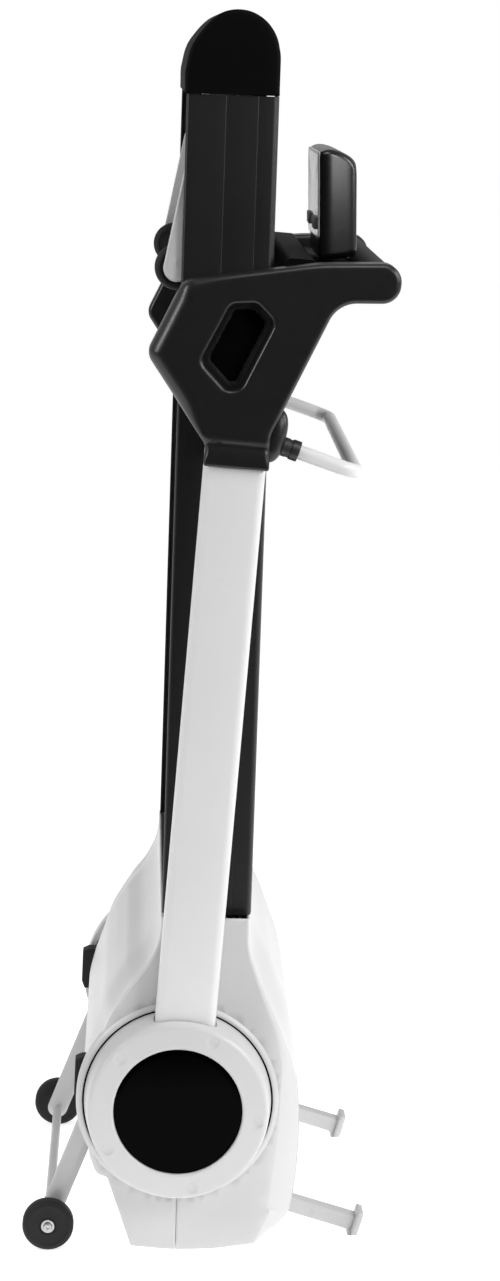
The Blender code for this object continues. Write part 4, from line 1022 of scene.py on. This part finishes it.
def floor_pads():
    """Black buffers behind the hood: a rounded block."""
    for word, side in SIDES:
        box = [(-0.1300, -0.0130), (-0.1150, -0.0130), (-0.1130, 0.0455), (-0.1250, 0.0450),
               (-0.1335, 0.0410), (-0.1340, -0.0020)]
        outline, _ = cornered(box, [0.002, 0.001, 0.001, 0.002, 0.002, 0.002], step=0.002)
        edge = lambda p, d: fillet(d, 0.0015)
        Skin(DECK).slab(outline, 0.2622, 0.2898, edge, edge, 0.003, side, steps=(0.0004, 0.001, 0.0015)).made(
            "hood_buffer_" + word, "deck", RUBBER, ("floor_pad_" + word,), angle=50)


def hidden_and_plain():
    """Finishes for the nodes that stay as they are, and softened edges for the plain ones that show."""
    for node, body in frame_bodies().items():
        finish = KEPT.get(node)
        if finish is None:
            continue
        slots = frame["nodes"][node].data.materials
        if not len(slots):
            slots.append(finish)
        for i in range(len(slots)):
            slots[i] = finish
    for node in ("frame_side_left", "frame_side_right", "cross_member_mid", "cross_member_rear"):
        softened(node, "deck", WHITE_POWDER, 0.0015)
    softened("deck_board", "deck", BOARD, 0.0012)
    softened("power_inlet", "deck", KEY_BLACK, 0.0008)
    softened("power_rocker", "power_rocker", KEY_RED, 0.0006)
    softened("display_lens", "console", GLOSS_BLACK, 0.0006)
    for node, finish in (("start_button", KEY_START), ("stop_button", KEY_STOP), ("slower_button", KEY_PLAIN),
                         ("faster_button", KEY_PLAIN)):
        softened(node, node, finish, 0.0008)


def frame_bodies():
    return {node: body for body, nodes in frame["record"]["behaviour"]["bodies"].items() for node in nodes}


KEPT = {"motor": CAST, "motor_plate": WHITE_POWDER, "motor_pulley": STEEL, "drive_belt": RUBBER,
        "controller": TURNED, "fold_shaft": STEEL, "foot_sleeve_left": STEEL, "foot_sleeve_right": STEEL,
        "front_roller": TURNED, "rear_roller": TURNED}


# ---------------------------------------------------------------- stage, light, camera
def stage():
    """A pale floor that is nearly its own light, a room that is dark behind the camera and bright at the
    sides, above and beyond, and four large soft lamps."""
    mesh = bpy.data.meshes.new("floor")
    mesh.from_pydata([(-9, -1.5, -0.0005), (9, -1.5, -0.0005), (9, 40, -0.0005), (-9, 40, -0.0005)], [],
                     [(0, 1, 2, 3)])
    floor = bpy.data.objects.new("floor", mesh)
    bpy.context.scene.collection.objects.link(floor)
    f = Finish("pale_floor", Base_Color=(0.80, 0.80, 0.80), Roughness=0.9, Emission_Strength=0.70,
               Specular_IOR_Level=0.1)
    f.shade(Emission_Color=(1.0, 1.0, 1.0))
    mesh.materials.append(f.material)
    world = bpy.data.worlds.new("white_room")
    world.use_nodes = True
    tree = world.node_tree
    new, link, back = tree.nodes.new, tree.links.new, tree.nodes["Background"]
    way, split, shade = new("ShaderNodeTexCoord"), new("ShaderNodeSeparateXYZ"), new("ShaderNodeMapRange")
    link(way.outputs["Generated"], split.inputs[0])
    link(split.outputs["Y"], shade.inputs["Value"])
    for name, value in (("From Min", -0.75), ("From Max", 0.15), ("To Min", 0.04), ("To Max", 0.52)):
        shade.inputs[name].default_value = value
    link(shade.outputs[0], back.inputs["Strength"])
    back.inputs["Color"].default_value = (1, 1, 1, 1)
    seen, path, mix = new("ShaderNodeBackground"), new("ShaderNodeLightPath"), new("ShaderNodeMixShader")
    seen.inputs["Color"].default_value, seen.inputs["Strength"].default_value = (1, 1, 1, 1), 1.0
    link(path.outputs["Is Camera Ray"], mix.inputs[0])
    link(back.outputs[0], mix.inputs[1])
    link(seen.outputs[0], mix.inputs[2])
    link(mix.outputs[0], tree.nodes["World Output"].inputs[0])
    bpy.context.scene.world = world
    for name, at, aim, size, power in (("lamp_key", (2.6, -3.0, 2.3), (0, -0.3, 1.65), (1.1, 1.7), 66),
                                       ("lamp_left", (-2.8, -1.7, 2.4), (0, 0, 1.55), (0.8, 1.5), 46),
                                       ("lamp_right", (3.0, -0.6, 2.3), (0, 0, 1.55), (1.0, 1.7), 46),
                                       ("lamp_above", (0.6, -2.0, 3.9), (0, 0, 1.4), (1.4, 1.4), 34)):
        light = bpy.data.lights.new(name, "AREA")
        light.shape, light.size, light.size_y, light.energy = "RECTANGLE", *size, power
        obj = bpy.data.objects.new(name, light)
        obj.location = at
        obj.rotation_euler = (Vector(aim) - Vector(at)).to_track_quat("-Z", "Y").to_euler()
        bpy.context.scene.collection.objects.link(obj)
    camera = bpy.data.cameras.new("camera")
    camera.lens, camera.sensor_width = 98.1, 36.0
    view = bpy.data.objects.new("camera", camera)
    view.location = (-0.071, -4.66, 1.554)
    view.rotation_euler = (math.radians(80.35), 0, math.radians(-1.67))
    bpy.context.scene.collection.objects.link(view)
    bpy.context.scene.camera = view
    bpy.context.scene.view_settings.view_transform = "Standard"


for make in (stage, rails, belt, end_cap, hood, arms, ring_covers, hub_caps, handles, guard_bar, cross_bars,
             console, feet, legs, front_wheels, levers, floor_pads, hidden_and_plain):
    make()
